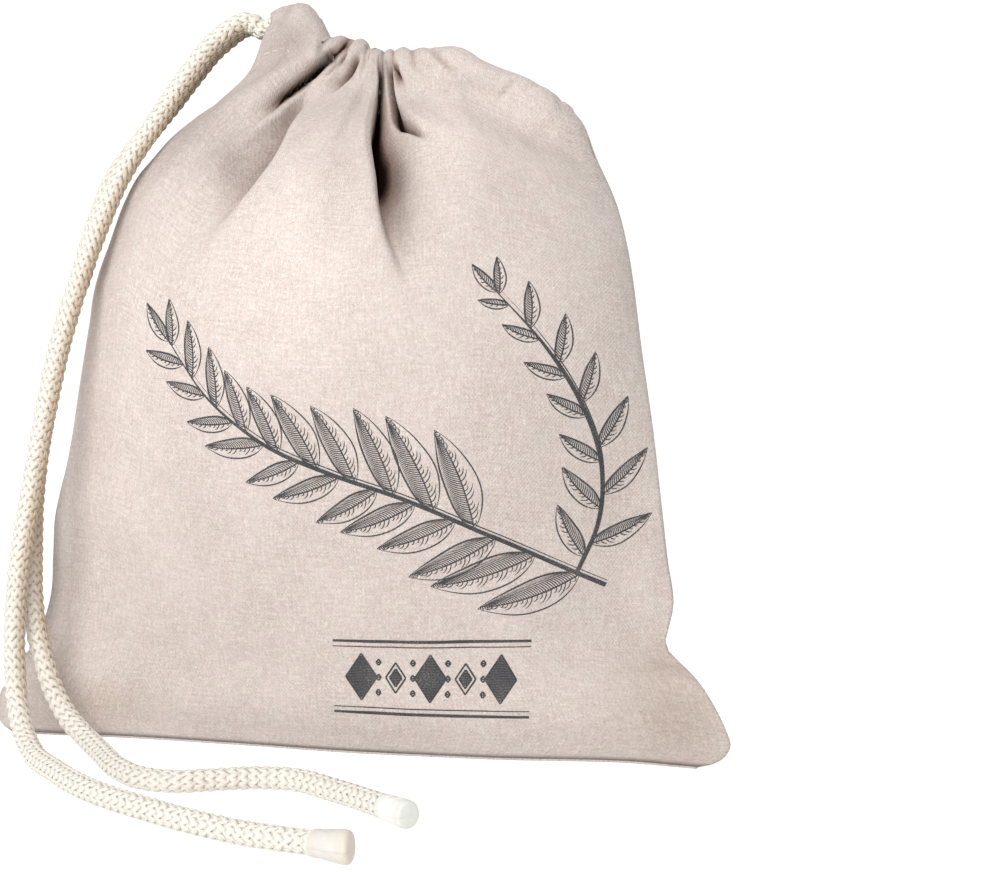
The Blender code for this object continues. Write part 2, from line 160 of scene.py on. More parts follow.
BOWS = make_table(
    Bow,
    (-134, 0), (-88, 0.5), (-40, 4), (10, 9), (54, 10), (100, 7.5), (128, 11.5), (140, 13),
)
SECTIONS = make_table(
    Section,
    (0, 0, 69, 2.6, 1.5), (0.006, 0.8, 74, 2.6, 1.5), (0.017, 2, 78.5, 2.6, 1.5),
    (0.038, 4.7, 83, 2.6, 1.48), (0.062, 8, 85.5, 2.6, 1.45), (0.084, 11.2, 85, 2.6, 1.42),
    (0.17, 26, 77.5, 2.5, 1.25), (0.253, 39, 70, 2.4, 1.08), (0.34, 49.5, 64.5, 2.3, 0.9),
    (0.464, 56.5, 61, 2.3, 0.74), (0.59, 59, 58, 2.2, 0.64), (0.717, 58, 53, 2.2, 0.6),
    (0.844, 50, 42, 2.2, 0.58), (0.93, 38, 29, 2.2, 0.58), (0.98, 22, 16, 2.2, 0.58),
    (1, 12.2, 12.2, 2.2, 0.58),
)
TIGHT_NECK = 0.9
MOUTH = make_table(
    Mouth,
    (-1, -39.6, 6.9, 262, 4.2), (-0.9, -32.5, 7.6, 265, 4.6), (-0.8, -27, 8.6, 266.2, 4.6),
    (-0.7, -21.5, 10, 259.8, 3.4), (-0.6, -15.5, 11, 252.6, 1.6), (-0.5, -9.8, 12, 252.2, TIGHT_NECK),
    (-0.34, -3.6, 12.8, 251.1, TIGHT_NECK), (-0.16, 3, 13, 247.6, TIGHT_NECK), (0.2, 13, 13, 248, 1.2),
    (0.35, 22, 13, 248.3, 3.4), (0.5, 34, 13, 248.2, 5), (0.58, 41, 13, 244.5, 5.4),
    (0.68, 49, 12.6, 240.7, 5.6), (0.78, 57, 11.8, 237.8, 6), (0.88, 65.5, 10, 233.4, 7.4),
    (0.94, 69.6, 7.4, 230.6, 9), (0.98, 72.2, 4, 229.8, 10), (1, 72.6, 1.75, 229.5, 10.4),
)
NECK = make_table(
    Neck,
    (-1, 6.4), (-0.8, 6.2), (-0.6, 5.2), (-0.4, 4.6), (0.2, 4.8), (0.35, 5.8), (0.6, 6.8), (0.8, 7.4),
    (0.9, 8.6), (1, 10.4),
)
CASING_RADIUS = 6.4
CASING = (
    Turn(2.6, -9.0),
    Turn(5.3, -5.0),
    *(
        Turn(CASING_RADIUS * math.cos(math.radians(a)), CASING_RADIUS * math.sin(math.radians(a)))
        for a in (0, 36, 72, 108, 144, 180)
    ),
    Turn(-5.7, -3.8),
    Turn(-4.2, -7.4),
    Turn(-2.5, -10.4),
)


# ---- Shared small maths


def smooth_line(places: Sequence[float], values: Sequence[float], at: Array) -> Array:
    """Reads a smooth line that never overshoots the points it goes through.

    Args:
        places: The points' places, rising.
        values: The points' values.
        at: Where the line is read.

    Returns:
        The line's values there.
    """
    x = np.asarray(places, float)
    y = np.asarray(values, float)
    step = np.diff(x)
    slope = np.diff(y) / step
    same_way = slope[:-1] * slope[1:] > 0
    safe = np.where(same_way, slope[:-1] * slope[1:], 1.0)
    first = 2 * step[1:] + step[:-1]
    second = step[1:] + 2 * step[:-1]
    mean = (first + second) * safe / (first * slope[1:] + second * slope[:-1] + (~same_way))
    tangent = np.empty(len(y))
    tangent[1:-1] = np.where(same_way, mean, 0.0)
    tangent[0] = slope[0]
    tangent[-1] = slope[-1]
    at = np.clip(at, x[0], x[-1])
    k = np.clip(np.searchsorted(x, at, side="right") - 1, 0, len(step) - 1)
    t = (at - x[k]) / step[k]
    along = step[k] * (t * (1 - t) ** 2 * tangent[k] - t**2 * (1 - t) * tangent[k + 1])
    return y[k] * (1 + 2 * t) * (1 - t) ** 2 + y[k + 1] * t**2 * (3 - 2 * t) + along


def read_table(rows: Sequence[NamedTuple], column: str, at: Array) -> Array:
    """Reads one column of a table at places in its first column.

    Args:
        rows: The table.
        column: The name of the column.
        at: The places to read.

    Returns:
        The column's values there.
    """
    return smooth_line([row[0] for row in rows], [getattr(row, column) for row in rows], at)


def ease(at: Array, start: float, end: float) -> Array:
    """Rises smoothly from 0 at start to 1 at end."""
    t = np.clip((at - start) / (end - start), 0.0, 1.0)
    return t * t * (3 - 2 * t)


def unit(vectors: Array) -> Array:
    """The same vectors, each 1 long."""
    return vectors / np.maximum(np.linalg.norm(vectors, axis=-1, keepdims=True), 1e-12)


def hump(at: Array, middle: float, width: float) -> Array:
    """A smooth hump, 1 high at its middle, that has all but gone two widths away."""
    return np.exp(-(((at - middle) / width) ** 2))


def along_line(points: Array) -> Array:
    """How far along a line each of its points is."""
    return np.concatenate([[0.0], np.cumsum(np.linalg.norm(np.diff(points, axis=0), axis=1))])


def circle(sides: int) -> Array:
    """Evenly spaced angles once round."""
    return np.arange(sides) * (2 * math.pi / sides)


def rings_round(line: Array, first: Array, second: Array, wide: float, tall: float, sides: int) -> Array:
    """Oval rings round the points of a line.

    Args:
        line: The line's points.
        first: The direction of the rings' half width at each point.
        second: The direction of their half height.
        wide: The half width.
        tall: The half height.
        sides: How many points a ring has.

    Returns:
        The rings' points, ring by ring.
    """
    turns = circle(sides)
    return (
        line[:, None]
        + first[:, None] * (wide * np.cos(turns))[None, :, None]
        + second[:, None] * (tall * np.sin(turns))[None, :, None]
    )


def gentle_waves(u: Array, v: Array, length: float, seed: int) -> Array:
    """A smooth uneven surface, from about -1 to 1, the same each time.

    Args:
        u: Places across the cloth.
        v: Places up the cloth.
        length: The usual distance from crest to crest.
        seed: Which of many such surfaces.

    Returns:
        The heights there.
    """
    chance = np.random.default_rng(seed)
    total = np.zeros(u.shape)
    for _ in range(12):
        turn = chance.uniform(0, 2 * math.pi)
        pull = 2 * math.pi / (length * chance.uniform(0.7, 1.6))
        lag = chance.uniform(0, 2 * math.pi)
        total += np.sin(pull * (u * math.cos(turn) + v * math.sin(turn)) + lag)
    return total / 4.0


def smooth_route(points: Sequence[Sequence[float]], step: float) -> Array:
    """Points a step apart on a smooth curve through a route.

    Args:
        points: The route.
        step: The distance between two points of the curve.

    Returns:
        The curve's points.
    """
    route = np.asarray(points, float)
    lengths = np.linalg.norm(np.diff(route, axis=0), axis=1)
    places = along_line(route)
    slopes = np.gradient(route, places, axis=0)
    at = np.linspace(0.0, places[-1], max(2, round(places[-1] / step) + 1))
    k = np.clip(np.searchsorted(places, at, side="right") - 1, 0, len(lengths) - 1)
    span = lengths[k][:, None]
    t = ((at - places[k]) / lengths[k])[:, None]
    blend = route[k] * (1 + 2 * t) * (1 - t) ** 2 + route[k + 1] * t**2 * (3 - 2 * t)
    return blend + span * (t * (1 - t) ** 2 * slopes[k] - t**2 * (1 - t) * slopes[k + 1])


# ---- Making meshes


def make_object(
    name: str,
    points: Array,
    faces: Array,
    finish: Material,
    marks: dict[str, Array] | None = None,
) -> Piece:
    """Makes a smooth-shaded mesh object.

    Args:
        name: The piece's name.
        points: Its points, in millimetres.
        faces: Its faces, as rows of point numbers. All have the same count of corners.
        finish: Its material.
        marks: Named values that the material reads at each point, three numbers each.

    Returns:
        The object, linked to the scene.
    """
    mesh = bpy.data.meshes.new(name)
    count, corners = faces.shape
    mesh.vertices.add(len(points))
    mesh.vertices.foreach_set("co", (points * MM).astype(np.float32).ravel())
    mesh.loops.add(count * corners)
    mesh.loops.foreach_set("vertex_index", faces.astype(np.int32).ravel())
    mesh.polygons.add(count)
    mesh.polygons.foreach_set("loop_start", np.arange(0, count * corners, corners, dtype=np.int32))
    mesh.polygons.foreach_set("use_smooth", np.ones(count, bool))
    for mark, values in (marks or {}).items():
        layer = mesh.attributes.new(mark, "FLOAT_VECTOR", "POINT")
        layer.data.foreach_set("vector", values.astype(np.float32).ravel())
    mesh.update(calc_edges=True)
    mesh.validate()
    mesh.materials.append(finish)
    made = bpy.data.objects.new(name, mesh)
    bpy.context.scene.collection.objects.link(made)
    return made


def grid_quads(rows: int, columns: int, closed: bool = False) -> Array:
    """The four-cornered faces of a grid of points.

    Args:
        rows: How many rows the grid has.
        columns: How many columns.
        closed: Whether its last column joins its first.

    Returns:
        Rows of four point numbers.
    """
    index = np.arange(rows * columns).reshape(rows, columns)
    if closed:
        index = np.concatenate([index, index[:, :1]], axis=1)
    corners = (index[:-1, :-1], index[:-1, 1:], index[1:, 1:], index[1:, :-1])
    return np.stack(corners, -1).reshape(-1, 4)


def grid_normals(grid: Array) -> Array:
    """The normals of a grid's points, along its columns turned towards its rows.

    Args:
        grid: The points, row above row.

    Returns:
        A normal for each point.
    """
    across = np.gradient(grid, axis=1)
    up = np.gradient(grid, axis=0)
    return unit(np.cross(across, up))


# ---- Finishes


class Grain(NamedTuple):
    """An uneven pattern: how often it changes in a millimetre each way, and how finely.

    Patterns with another layer look alike and don't line up.
    """

    across: float
    up: float
    layer: float = 0.0
    detail: float = 2.0
    rough: float = 0.5


class Mottle(NamedTuple):
    """Patches of a second colour, which start where a grain passes low and are full at high."""

    grain: Grain
    low: float
    high: float
    most: float
    colour: Colour
    kind: str = "MIX"


def set_range(node: bpy.types.Node, *limits: float) -> None:
    """Sets which range a Map Range node reads and which it writes."""
    for name, limit in zip(("From Min", "From Max", "To Min", "To Max"), limits):
        node.inputs[name].default_value = limit


class Nodes:
    """A short way to write the nodes of one material."""

    MIX_SHARE = 0
    MIX_COLOURS = (6, 7)
    MIX_RESULT = 2

    def __init__(self, name: str) -> None:
        """Starts a material whose surface is one Principled shader."""
        self.material = bpy.data.materials.new(name)
        self.material.use_nodes = True
        self.tree = self.material.node_tree
        self.shader = self.tree.nodes["Principled BSDF"]

    def join(self, value: object, socket: Socket) -> None:
        """Links another node's socket to this one, or sets this one to a number or a colour.

        Args:
            value: The other socket, the number or the colour. None leaves all as it is.
            socket: This socket.
        """
        if isinstance(value, Socket):
            self.tree.links.new(value, socket)
        elif value is not None:
            socket.default_value = (*value, 1.0) if socket.type == "RGBA" else value

    def attribute(self, name: str) -> Socket:
        """The values that a mesh carries under this name."""
        node = self.tree.nodes.new("ShaderNodeAttribute")
        node.attribute_name = name
        return node.outputs["Vector"]

    def maths(self, kind: str, a: object, b: object = None, c: object = None) -> Socket:
        """A sum, product or the like of up to three values.

        Args:
            kind: What is done.
            a: The first value.
            b: The second.
            c: The third.

        Returns:
            The result.
        """
        node = self.tree.nodes.new("ShaderNodeMath")
        node.operation = kind
        for value, socket in zip((a, b, c), node.inputs):
            self.join(value, socket)
        return node.outputs[0]

    def times(self, vector: object, by: Triple) -> Socket:
        """A vector with each of its three numbers scaled.

        Args:
            vector: The vector.
            by: The three scales.

        Returns:
            The scaled vector.
        """
        node = self.tree.nodes.new("ShaderNodeVectorMath")
        node.operation = "MULTIPLY"
        self.join(vector, node.inputs[0])
        node.inputs[1].default_value = by
        return node.outputs[0]

    def split(self, vector: object) -> tuple[Socket, ...]:
        """A vector's three numbers."""
        node = self.tree.nodes.new("ShaderNodeSeparateXYZ")
        self.join(vector, node.inputs[0])
        return tuple(node.outputs)

    def weigh(self, *parts: tuple[object, float]) -> Socket:
        """The sum of two values, each times its own weight."""
        first, second = (self.maths("MULTIPLY", value, weight) for value, weight in parts)
        return self.maths("ADD", first, second)

    def noise(self, vector: object, scale: float, detail: float = 2.0, rough: float = 0.5) -> Socket:
        """Smooth uneven values from 0 to 1.

        Args:
            vector: Where it is read.
            scale: How often it changes.
            detail: How many finer layers it has.
            rough: How strong these are.

        Returns:
            The values.
        """
        node = self.tree.nodes.new("ShaderNodeTexNoise")
        self.join(vector, node.inputs["Vector"])
        node.inputs["Scale"].default_value = scale
        node.inputs["Detail"].default_value = detail
        node.inputs["Roughness"].default_value = rough
        return node.outputs[0]

    def grain(self, place: object, grain: Grain) -> Socket:
        """Smooth uneven values from 0 to 1, at places given in millimetres."""
        spot = self.times(place, (grain.across, grain.up, grain.layer))
        return self.noise(spot, 1.0, grain.detail, grain.rough)

    def spread(self, value: object, low: float, high: float, to: Pair = (0.0, 1.0)) -> Socket:
        """A value stretched from one range to another and held inside it.

        Args:
            value: The value.
            low: Where its range starts.
            high: Where it ends.
            to: The new range.

        Returns:
            The stretched value.
        """
        node = self.tree.nodes.new("ShaderNodeMapRange")
        self.join(value, node.inputs["Value"])
        set_range(node, low, high, *to)
        return node.outputs[0]

    def mix(self, share: object, a: object, b: object, kind: str = "MIX") -> Socket:
        """Two colours mixed.

        Args:
            share: How much of the second there is.
            a: The first colour.
            b: The second.
            kind: How they mix.

        Returns:
            The mixed colour.
        """
        node = self.tree.nodes.new("ShaderNodeMix")
        node.data_type = "RGBA"
        node.blend_type = kind
        self.join(share, node.inputs[self.MIX_SHARE])
        for value, number in zip((a, b), self.MIX_COLOURS):
            self.join(value, node.inputs[number])
        return node.outputs[self.MIX_RESULT]

    def mottled(self, colour: object, place: object, mottle: Mottle) -> Socket:
        """A colour with patches of another over it."""
        share = self.spread(self.grain(place, mottle.grain), mottle.low, mottle.high, (0.0, mottle.most))
        return self.mix(share, colour, mottle.colour, mottle.kind)

    def bump(self, height: object, distance: float, strength: float) -> Socket:
        """A normal that follows small heights. The distance is in metres.

        Args:
            height: The heights, from 0 to 1.
            distance: How high 1 stands.
            strength: How much of it shows.

        Returns:
            The normal.
        """
        node = self.tree.nodes.new("ShaderNodeBump")
        node.inputs["Strength"].default_value = strength
        node.inputs["Distance"].default_value = distance
        self.join(height, node.inputs["Height"])
        return node.outputs[0]

    def settle(self, **sockets: object) -> Material:
        """Joins values to the shader's sockets and gives back the material."""
        for name, value in sockets.items():
            self.join(value, self.shader.inputs[name.replace("_", " ")])
        return self.material


@dataclass(frozen=True)
class Finish:
    """What the bag's finishes share: how rough, glossy and raised they are."""

    name: str
    rough_range: Pair
    relief: float
    relief_strength: float
    uneven_range: Pair = (0.2, 0.8)
    gloss: float = 0.5
    sheen: float = 0.0

    def surface(
        self, nodes: Nodes, colour: Socket, uneven: Socket, height: Socket, **others: Socket
    ) -> Material:
        """Gives the material its surface.

        Args:
            nodes: The material being made.
            colour: Its colour.
            uneven: What makes it rougher and smoother.
            height: What makes it higher and lower.
            others: More values for the shader, by the names of its sockets.

        Returns:
            The material.
        """
        nodes.shader.inputs["Specular IOR Level"].default_value = self.gloss
        nodes.shader.inputs["Sheen Weight"].default_value = self.sheen
        return nodes.settle(
            Base_Color=colour,
            Roughness=nodes.spread(uneven, *self.uneven_range, self.rough_range),
            Normal=nodes.bump(height, self.relief, self.relief_strength),
            **others,
        )


@dataclass(frozen=True)
class LinenFinish(Finish):
    """Natural plain-weave linen, with thick and thin threads and a few dark flecks, with shade painted into
    its folds and creases and soft patches of painted shade and light.
    """

    name: str = "natural_linen"
    rough_range: Pair = (0.86, 0.97)
    uneven_range: Pair = (0.6, 1.4)
    relief: float = 0.0003
    relief_strength: float = 0.75
    gloss: float = 0.20
    sheen: float = 0.08
    light: Colour = (0.768, 0.690, 0.638)
    dark: Colour = (0.510, 0.437, 0.389)
    pale: Colour = (0.795, 0.720, 0.678)
    fleck: Colour = (0.27, 0.20, 0.155)
    # The colours of the shade painted into folds and creases: brown, then black where it is strongest.
    deep: Colour = (0.36, 0.235, 0.185)
    deepest: Colour = (0.012, 0.007, 0.006)
    warm_tint: Colour = (1.0, 0.925, 0.85)
    rosy: Colour = (1.0, 0.972, 0.985)
    thread_pitch: Pair = (0.72, 0.78)
    drift: Grain = Grain(0.11, 0.11, 1.0, 1.0)
    drift_reach: Pair = (1.6, 1.1)
    warp_slubs: Grain = Grain(1 / 0.95, 1 / 7.0, 0.0, 2.0, 0.7)
    weft_slubs: Grain = Grain(1 / 7.5, 1 / 0.95, 0.3, 2.0, 0.7)
    specks: Grain = Grain(1 / 0.95, 1 / 0.95, 0.9, 2.0, 0.75)
    mottles: tuple[Mottle, ...] = (
        Mottle(Grain(1 / 30.0, 1 / 38.0, 0.0, 3.0), 0.35, 0.70, 0.35, pale),
        Mottle(Grain(1 / 2.0, 1 / 1.8, 0.2, 2.0, 0.6), 0.42, 0.62, 0.32, dark),
        Mottle(Grain(1 / 7.0, 1 / 9.0, 0.8), 0.40, 0.60, 1.0, rosy, "MULTIPLY"),
        Mottle(Grain(1 / 26.0, 1 / 1.1, 0.6, 1.0), 0.66, 0.76, 0.22, dark),
        Mottle(Grain(1 / 1.9, 1 / 0.6, 0.7, 0.0), 0.82, 0.86, 0.65, fleck),
    )
    slub_share: float = 0.50
    speck_share: float = 0.78
    weave_share: float = 0.05
    shade_range: Pair = (0.70, 1.09)
    weave_height: float = 0.22
    shade_height: float = 1.1
    black_from: float = 0.74
    black_full: float = 0.97
    blackest: float = 0.96
    least_gloss: float = 0.02
    dull_at: float = 0.5

    def threads(self, nodes: Nodes, place: object) -> tuple[Socket, Socket]:
        """Draws the weave and its uneven threads.

        Args:
            nodes: The material being made.
            place: Where on the cloth, in millimetres.

        Returns:
            How high the weave stands, and how thick the threads are.
        """
        u, v, _ = nodes.split(place)
        drift = nodes.grain(place, self.drift)
        waves = []
        for at, reach, pitch in zip((u, v), self.drift_reach, self.thread_pitch):
            drifted = nodes.maths("MULTIPLY_ADD", drift, reach, at)
            waves.append(nodes.maths("SINE", nodes.maths("MULTIPLY", drifted, math.pi / pitch)))
        slubs = nodes.maths("ADD", nodes.grain(place, self.warp_slubs), nodes.grain(place, self.weft_slubs))
        return nodes.maths("MULTIPLY", *waves), slubs

    def build(self) -> Material:
        """Makes the material."""
        nodes = Nodes(self.name)
        marked = nodes.attribute("cloth")
        _, _, hollow = nodes.split(marked)
        place = nodes.times(marked, (1.0, 1.0, 0.0))
        weave, slubs = self.threads(nodes, place)
        specks = nodes.grain(place, self.specks)
        shade = nodes.weigh((slubs, self.slub_share), (specks, self.speck_share))
        shade = nodes.maths("MULTIPLY_ADD", weave, self.weave_share, shade)
        colour = nodes.mix(nodes.spread(shade, *self.shade_range), self.dark, self.light)
        for mottle in self.mottles:
            colour = nodes.mottled(colour, place, mottle)
        # Soft patches of painted shade and painted light, and a warmer tint, from the tone marks.
        shaded, tan, _ = nodes.split(nodes.attribute("tone"))
        colour = nodes.mix(tan, colour, self.warm_tint, "MULTIPLY")
        colour = nodes.mix(shaded, colour, (0.0, 0.0, 0.0), "MULTIPLY")
        # Shade painted into folds and creases from the hollow mark, brown and then black where it is
        # strongest.
        colour = nodes.mix(hollow, colour, self.deep, "MULTIPLY")
        black = nodes.spread(hollow, self.black_from, self.black_full, (0.0, self.blackest))
        colour = nodes.mix(black, colour, self.deepest)
        height = nodes.weigh((weave, self.weave_height), (shade, self.shade_height))
        nodes.shader.inputs["Sheen Roughness"].default_value = 0.5
        return self.surface(
            nodes,
            colour,
            slubs,
            height,
            # Gloss and sheen fade where shade is painted, so that the painted shade stays dark.
            Specular_IOR_Level=nodes.spread(hollow, 0.0, self.dull_at, (self.gloss, self.least_gloss)),
            Sheen_Weight=nodes.spread(hollow, 0.0, self.dull_at, (self.sheen, 0.0)),
        )


@dataclass(frozen=True)
class CottonFinish(Finish):
    """Undyed cotton yarn, laid side by side in the strands of a braid."""

    name: str = "undyed_cotton"
    rough_range: Pair = (0.80, 0.96)
    relief: float = 0.0003
    relief_strength: float = 0.6
    gloss: float = 0.25
    sheen: float = 0.15
    light: Colour = (0.84, 0.812, 0.752)
    dark: Colour = (0.74, 0.675, 0.585)
    painted_shade: Colour = (0.66, 0.56, 0.45)
    twist_along: float = 2.6
    twist_around: float = 4.0
    fibres: Grain = Grain(0.7, 4.0, 1.0, 3.0, 0.6)
    yarn_share: float = 0.10
    shade_range: Pair = (0.3, 0.68)

    def build(self) -> Material:
        """Makes the material."""
        nodes = Nodes(self.name)
        place = nodes.attribute("strand")
        along, around, _ = nodes.split(place)
        yarn = nodes.maths("SINE", nodes.weigh((along, self.twist_along), (around, self.twist_around)))
        fibres = nodes.grain(place, self.fibres)
        shade = nodes.maths("ADD", nodes.maths("MULTIPLY", yarn, self.yarn_share), fibres)
        colour = nodes.mix(nodes.spread(shade, *self.shade_range), self.dark, self.light)
        # Painted shade on the cord's side away from the light, from the tone marks.
        painted_shade, _, _ = nodes.split(nodes.attribute("tone"))
        colour = nodes.mix(painted_shade, colour, self.painted_shade, "MULTIPLY")
        return self.surface(nodes, colour, fibres, shade)


@dataclass(frozen=True)
class DipFinish(Finish):
    """The wax that stiffens a cord's end, with the yarn showing faintly through."""

    name: str = "waxed_cord_end"
    rough_range: Pair = (0.42, 0.62)
    uneven_range: Pair = (0.3, 0.7)
    relief: float = 0.0004
    relief_strength: float = 0.5
    light: Colour = (0.69, 0.68, 0.65)
    dark: Colour = (0.65, 0.605, 0.55)
    # The colour of the shade painted at the collar and the rounded end.
    end: Colour = (0.66, 0.555, 0.47)
    patches: Grain = Grain(0.22, 0.22, 1.0, 3.0)
    ribs: Grain = Grain(1.4, 0.5, 1.0)
    rib_height: float = 0.6
    collar: Pair = (0.6, 2.2)
    collar_share: float = 0.45
    rounded: Pair = (7.5, 12.0)
    rounded_share: float = 0.75

    def build(self) -> Material:
        """Makes the material."""
        nodes = Nodes(self.name)
        place = nodes.attribute("strand")
        patches = nodes.grain(place, self.patches)
        ribs = nodes.grain(place, self.ribs)
        along, _, _ = nodes.split(place)
        colour = nodes.mix(nodes.spread(patches, 0.35, 0.7), self.dark, self.light)
        # Painted shade at the collar, where the cap narrows into the cord, and towards its rounded end.
        colour = nodes.mix(nodes.spread(along, *self.collar, (self.collar_share, 0.0)), colour, self.end)
        colour = nodes.mix(nodes.spread(along, *self.rounded, (0.0, self.rounded_share)), colour, self.end)
        height = nodes.maths("ADD", nodes.maths("MULTIPLY", ribs, self.rib_height), patches)
        return self.surface(nodes, colour, patches, height)


@dataclass(frozen=True)
class FloorFinish:
    """Plain white paper."""

    name: str = "white_paper"
    colour: Colour = (0.30, 0.30, 0.30)
    glow: float = 0.84
    grain_scale: float = 60.0
    gloss: float = 0.1

    def build(self) -> Material:
        """Makes the material."""
        nodes = Nodes(self.name)
        rough = nodes.spread(nodes.noise(None, self.grain_scale), 0.3, 0.7, (0.9, 1.0))
        nodes.shader.inputs["Specular IOR Level"].default_value = self.gloss
        nodes.shader.inputs["Emission Color"].default_value = (1.0, 1.0, 1.0, 1.0)
        nodes.shader.inputs["Emission Strength"].default_value = self.glow
        return nodes.settle(Base_Color=self.colour, Roughness=rough)


# ---- Studio, camera


@dataclass
class Studio:
    """A white floor, soft light from the upper left, and the camera, in metres."""

    camera_place: Triple = (0.14743, -0.68616, 0.185)
    pitch: float = 6.2008
    yaw: float = 8.0
    lens: float = 66.667
    nearest: float = 0.01
    farthest: float = 50.0
    floor_size: float = 60.0
    lamp_place: Triple = (-0.20, -1.35, 1.05)
    lamp_aim: Triple = (0.0, 0.0, 0.12)
    lamp_size: float = 1.1
    lamp_watts: float = 25.0
    room_change: Pair = (0.10, 0.90)
    room_light: Pair = (0.50, 1.05)

    def add_camera(self) -> Piece:
        """Makes the camera and has the scene use it."""
        data = bpy.data.cameras.new("camera")
        data.sensor_width = 36.0
        data.sensor_fit = "HORIZONTAL"
        data.lens = self.lens
        data.clip_start = self.nearest
        data.clip_end = self.farthest
        camera = bpy.data.objects.new("camera", data)
        camera.location = self.camera_place
        camera.rotation_euler = (math.radians(90 - self.pitch), 0.0, math.radians(self.yaw))
        bpy.context.scene.collection.objects.link(camera)
        bpy.context.scene.camera = camera
        return camera

    def add_floor(self, finish: Material) -> Piece:
        """Makes the floor.

        Args:
            finish: Its material.

        Returns:
            The floor.
        """
        half = self.floor_size / MM / 2
        points = np.array([(x, y, 0.0) for y in (-half, half) for x in (-half, half)])
        floor = make_object("floor", points, grid_quads(2, 2), finish)
        return floor

    def add_lamp(self) -> None:
        """Adds the soft square lamp."""
        data = bpy.data.lights.new("key_lamp", "AREA")
        data.shape = "SQUARE"
        data.size = self.lamp_size
        data.energy = self.lamp_watts
        lamp = bpy.data.objects.new("key_lamp", data)
        lamp.location = self.lamp_place
        beam = Vector(self.lamp_aim) - Vector(self.lamp_place)
        lamp.rotation_euler = beam.to_track_quat("-Z", "Y").to_euler()
        bpy.context.scene.collection.objects.link(lamp)

    def light(self) -> None:
        """Adds the lamp and the white surroundings."""
        scene = bpy.context.scene
        scene.view_settings.view_transform = "Standard"
        scene.view_settings.look = "None"
        scene.world = self.room()
        self.add_lamp()

    def room(self) -> bpy.types.World:
        """Makes the room: white behind the bag, and dimmer in front of it."""
        world = bpy.data.worlds.new("white_room")
        world.use_nodes = True
        tree = world.node_tree
        background = tree.nodes["Background"]
        background.inputs["Color"].default_value = (1.0, 1.0, 1.0, 1.0)
        place = tree.nodes.new("ShaderNodeTexCoord")
        split = tree.nodes.new("ShaderNodeSeparateXYZ")
        tree.links.new(place.outputs["Generated"], split.inputs[0])
        spread = tree.nodes.new("ShaderNodeMapRange")
        spread.interpolation_type = "SMOOTHSTEP"
        tree.links.new(split.outputs["Y"], spread.inputs["Value"])
        set_range(spread, *self.room_change, *self.room_light)
        tree.links.new(spread.outputs[0], background.inputs["Strength"])
        return world


# ---- Cords

# The routes of the two tails from the casings to their tips, in metres
TAIL_A_ROUTE = (
    (-0.0455, 0.0065, 0.265), (-0.056, 0.002, 0.2588), (-0.0655, -0.002, 0.247), (-0.072, -0.006, 0.2365),
    (-0.078, -0.01, 0.226), (-0.083, -0.014, 0.2175), (-0.089, -0.019, 0.2055), (-0.093, -0.023, 0.1945),
    (-0.0965, -0.026, 0.184), (-0.1, -0.0295, 0.1725), (-0.1035, -0.033, 0.159), (-0.1065, -0.037, 0.145),
    (-0.1095, -0.042, 0.126), (-0.112, -0.047, 0.107), (-0.114, -0.0515, 0.089), (-0.116, -0.055, 0.0725),
    (-0.117, -0.0585, 0.056), (-0.117, -0.0615, 0.04), (-0.116, -0.064, 0.0275), (-0.114, -0.067, 0.0165),
    (-0.11, -0.072, 0.0085), (-0.1035, -0.081, 0.0046), (-0.088, -0.1, 0.0041), (-0.068, -0.12, 0.0041),
    (-0.046, -0.135, 0.0041), (-0.025, -0.147, 0.0041), (-0.004, -0.1565, 0.0042), (0.0095, -0.162, 0.0049),
    (0.0195, -0.166, 0.0055),
)
TAIL_B_ROUTE = (
    (-0.0475, 0.0185, 0.265), (-0.058, 0.014, 0.2582), (-0.0675, 0.009, 0.2465), (-0.074, 0.0045, 0.2365),
    (-0.081, 0, 0.2265), (-0.0875, -0.004, 0.2175), (-0.0945, -0.0095, 0.2055), (-0.0983, -0.0135, 0.194),
    (-0.1013, -0.0165, 0.1835), (-0.1035, -0.0195, 0.172), (-0.1075, -0.0235, 0.1585),
    (-0.1105, -0.028, 0.144), (-0.1135, -0.033, 0.125), (-0.1155, -0.0375, 0.106),
    (-0.1165, -0.0415, 0.0875), (-0.116, -0.045, 0.0705), (-0.115, -0.0485, 0.0545),
    (-0.112, -0.0525, 0.04), (-0.108, -0.0555, 0.0295), (-0.1035, -0.0575, 0.019), (-0.097, -0.061, 0.011),
    (-0.089, -0.067, 0.0066), (-0.079, -0.0785, 0.0045), (-0.067, -0.095, 0.0041), (-0.055, -0.105, 0.0041),
    (-0.043, -0.107, 0.0041), (-0.03, -0.103, 0.0041), (-0.017, -0.099, 0.0041), (-0.004, -0.0995, 0.0041),
    (0.01, -0.1085, 0.0043), (0.0225, -0.119, 0.0049), (0.033, -0.129, 0.0055),
)


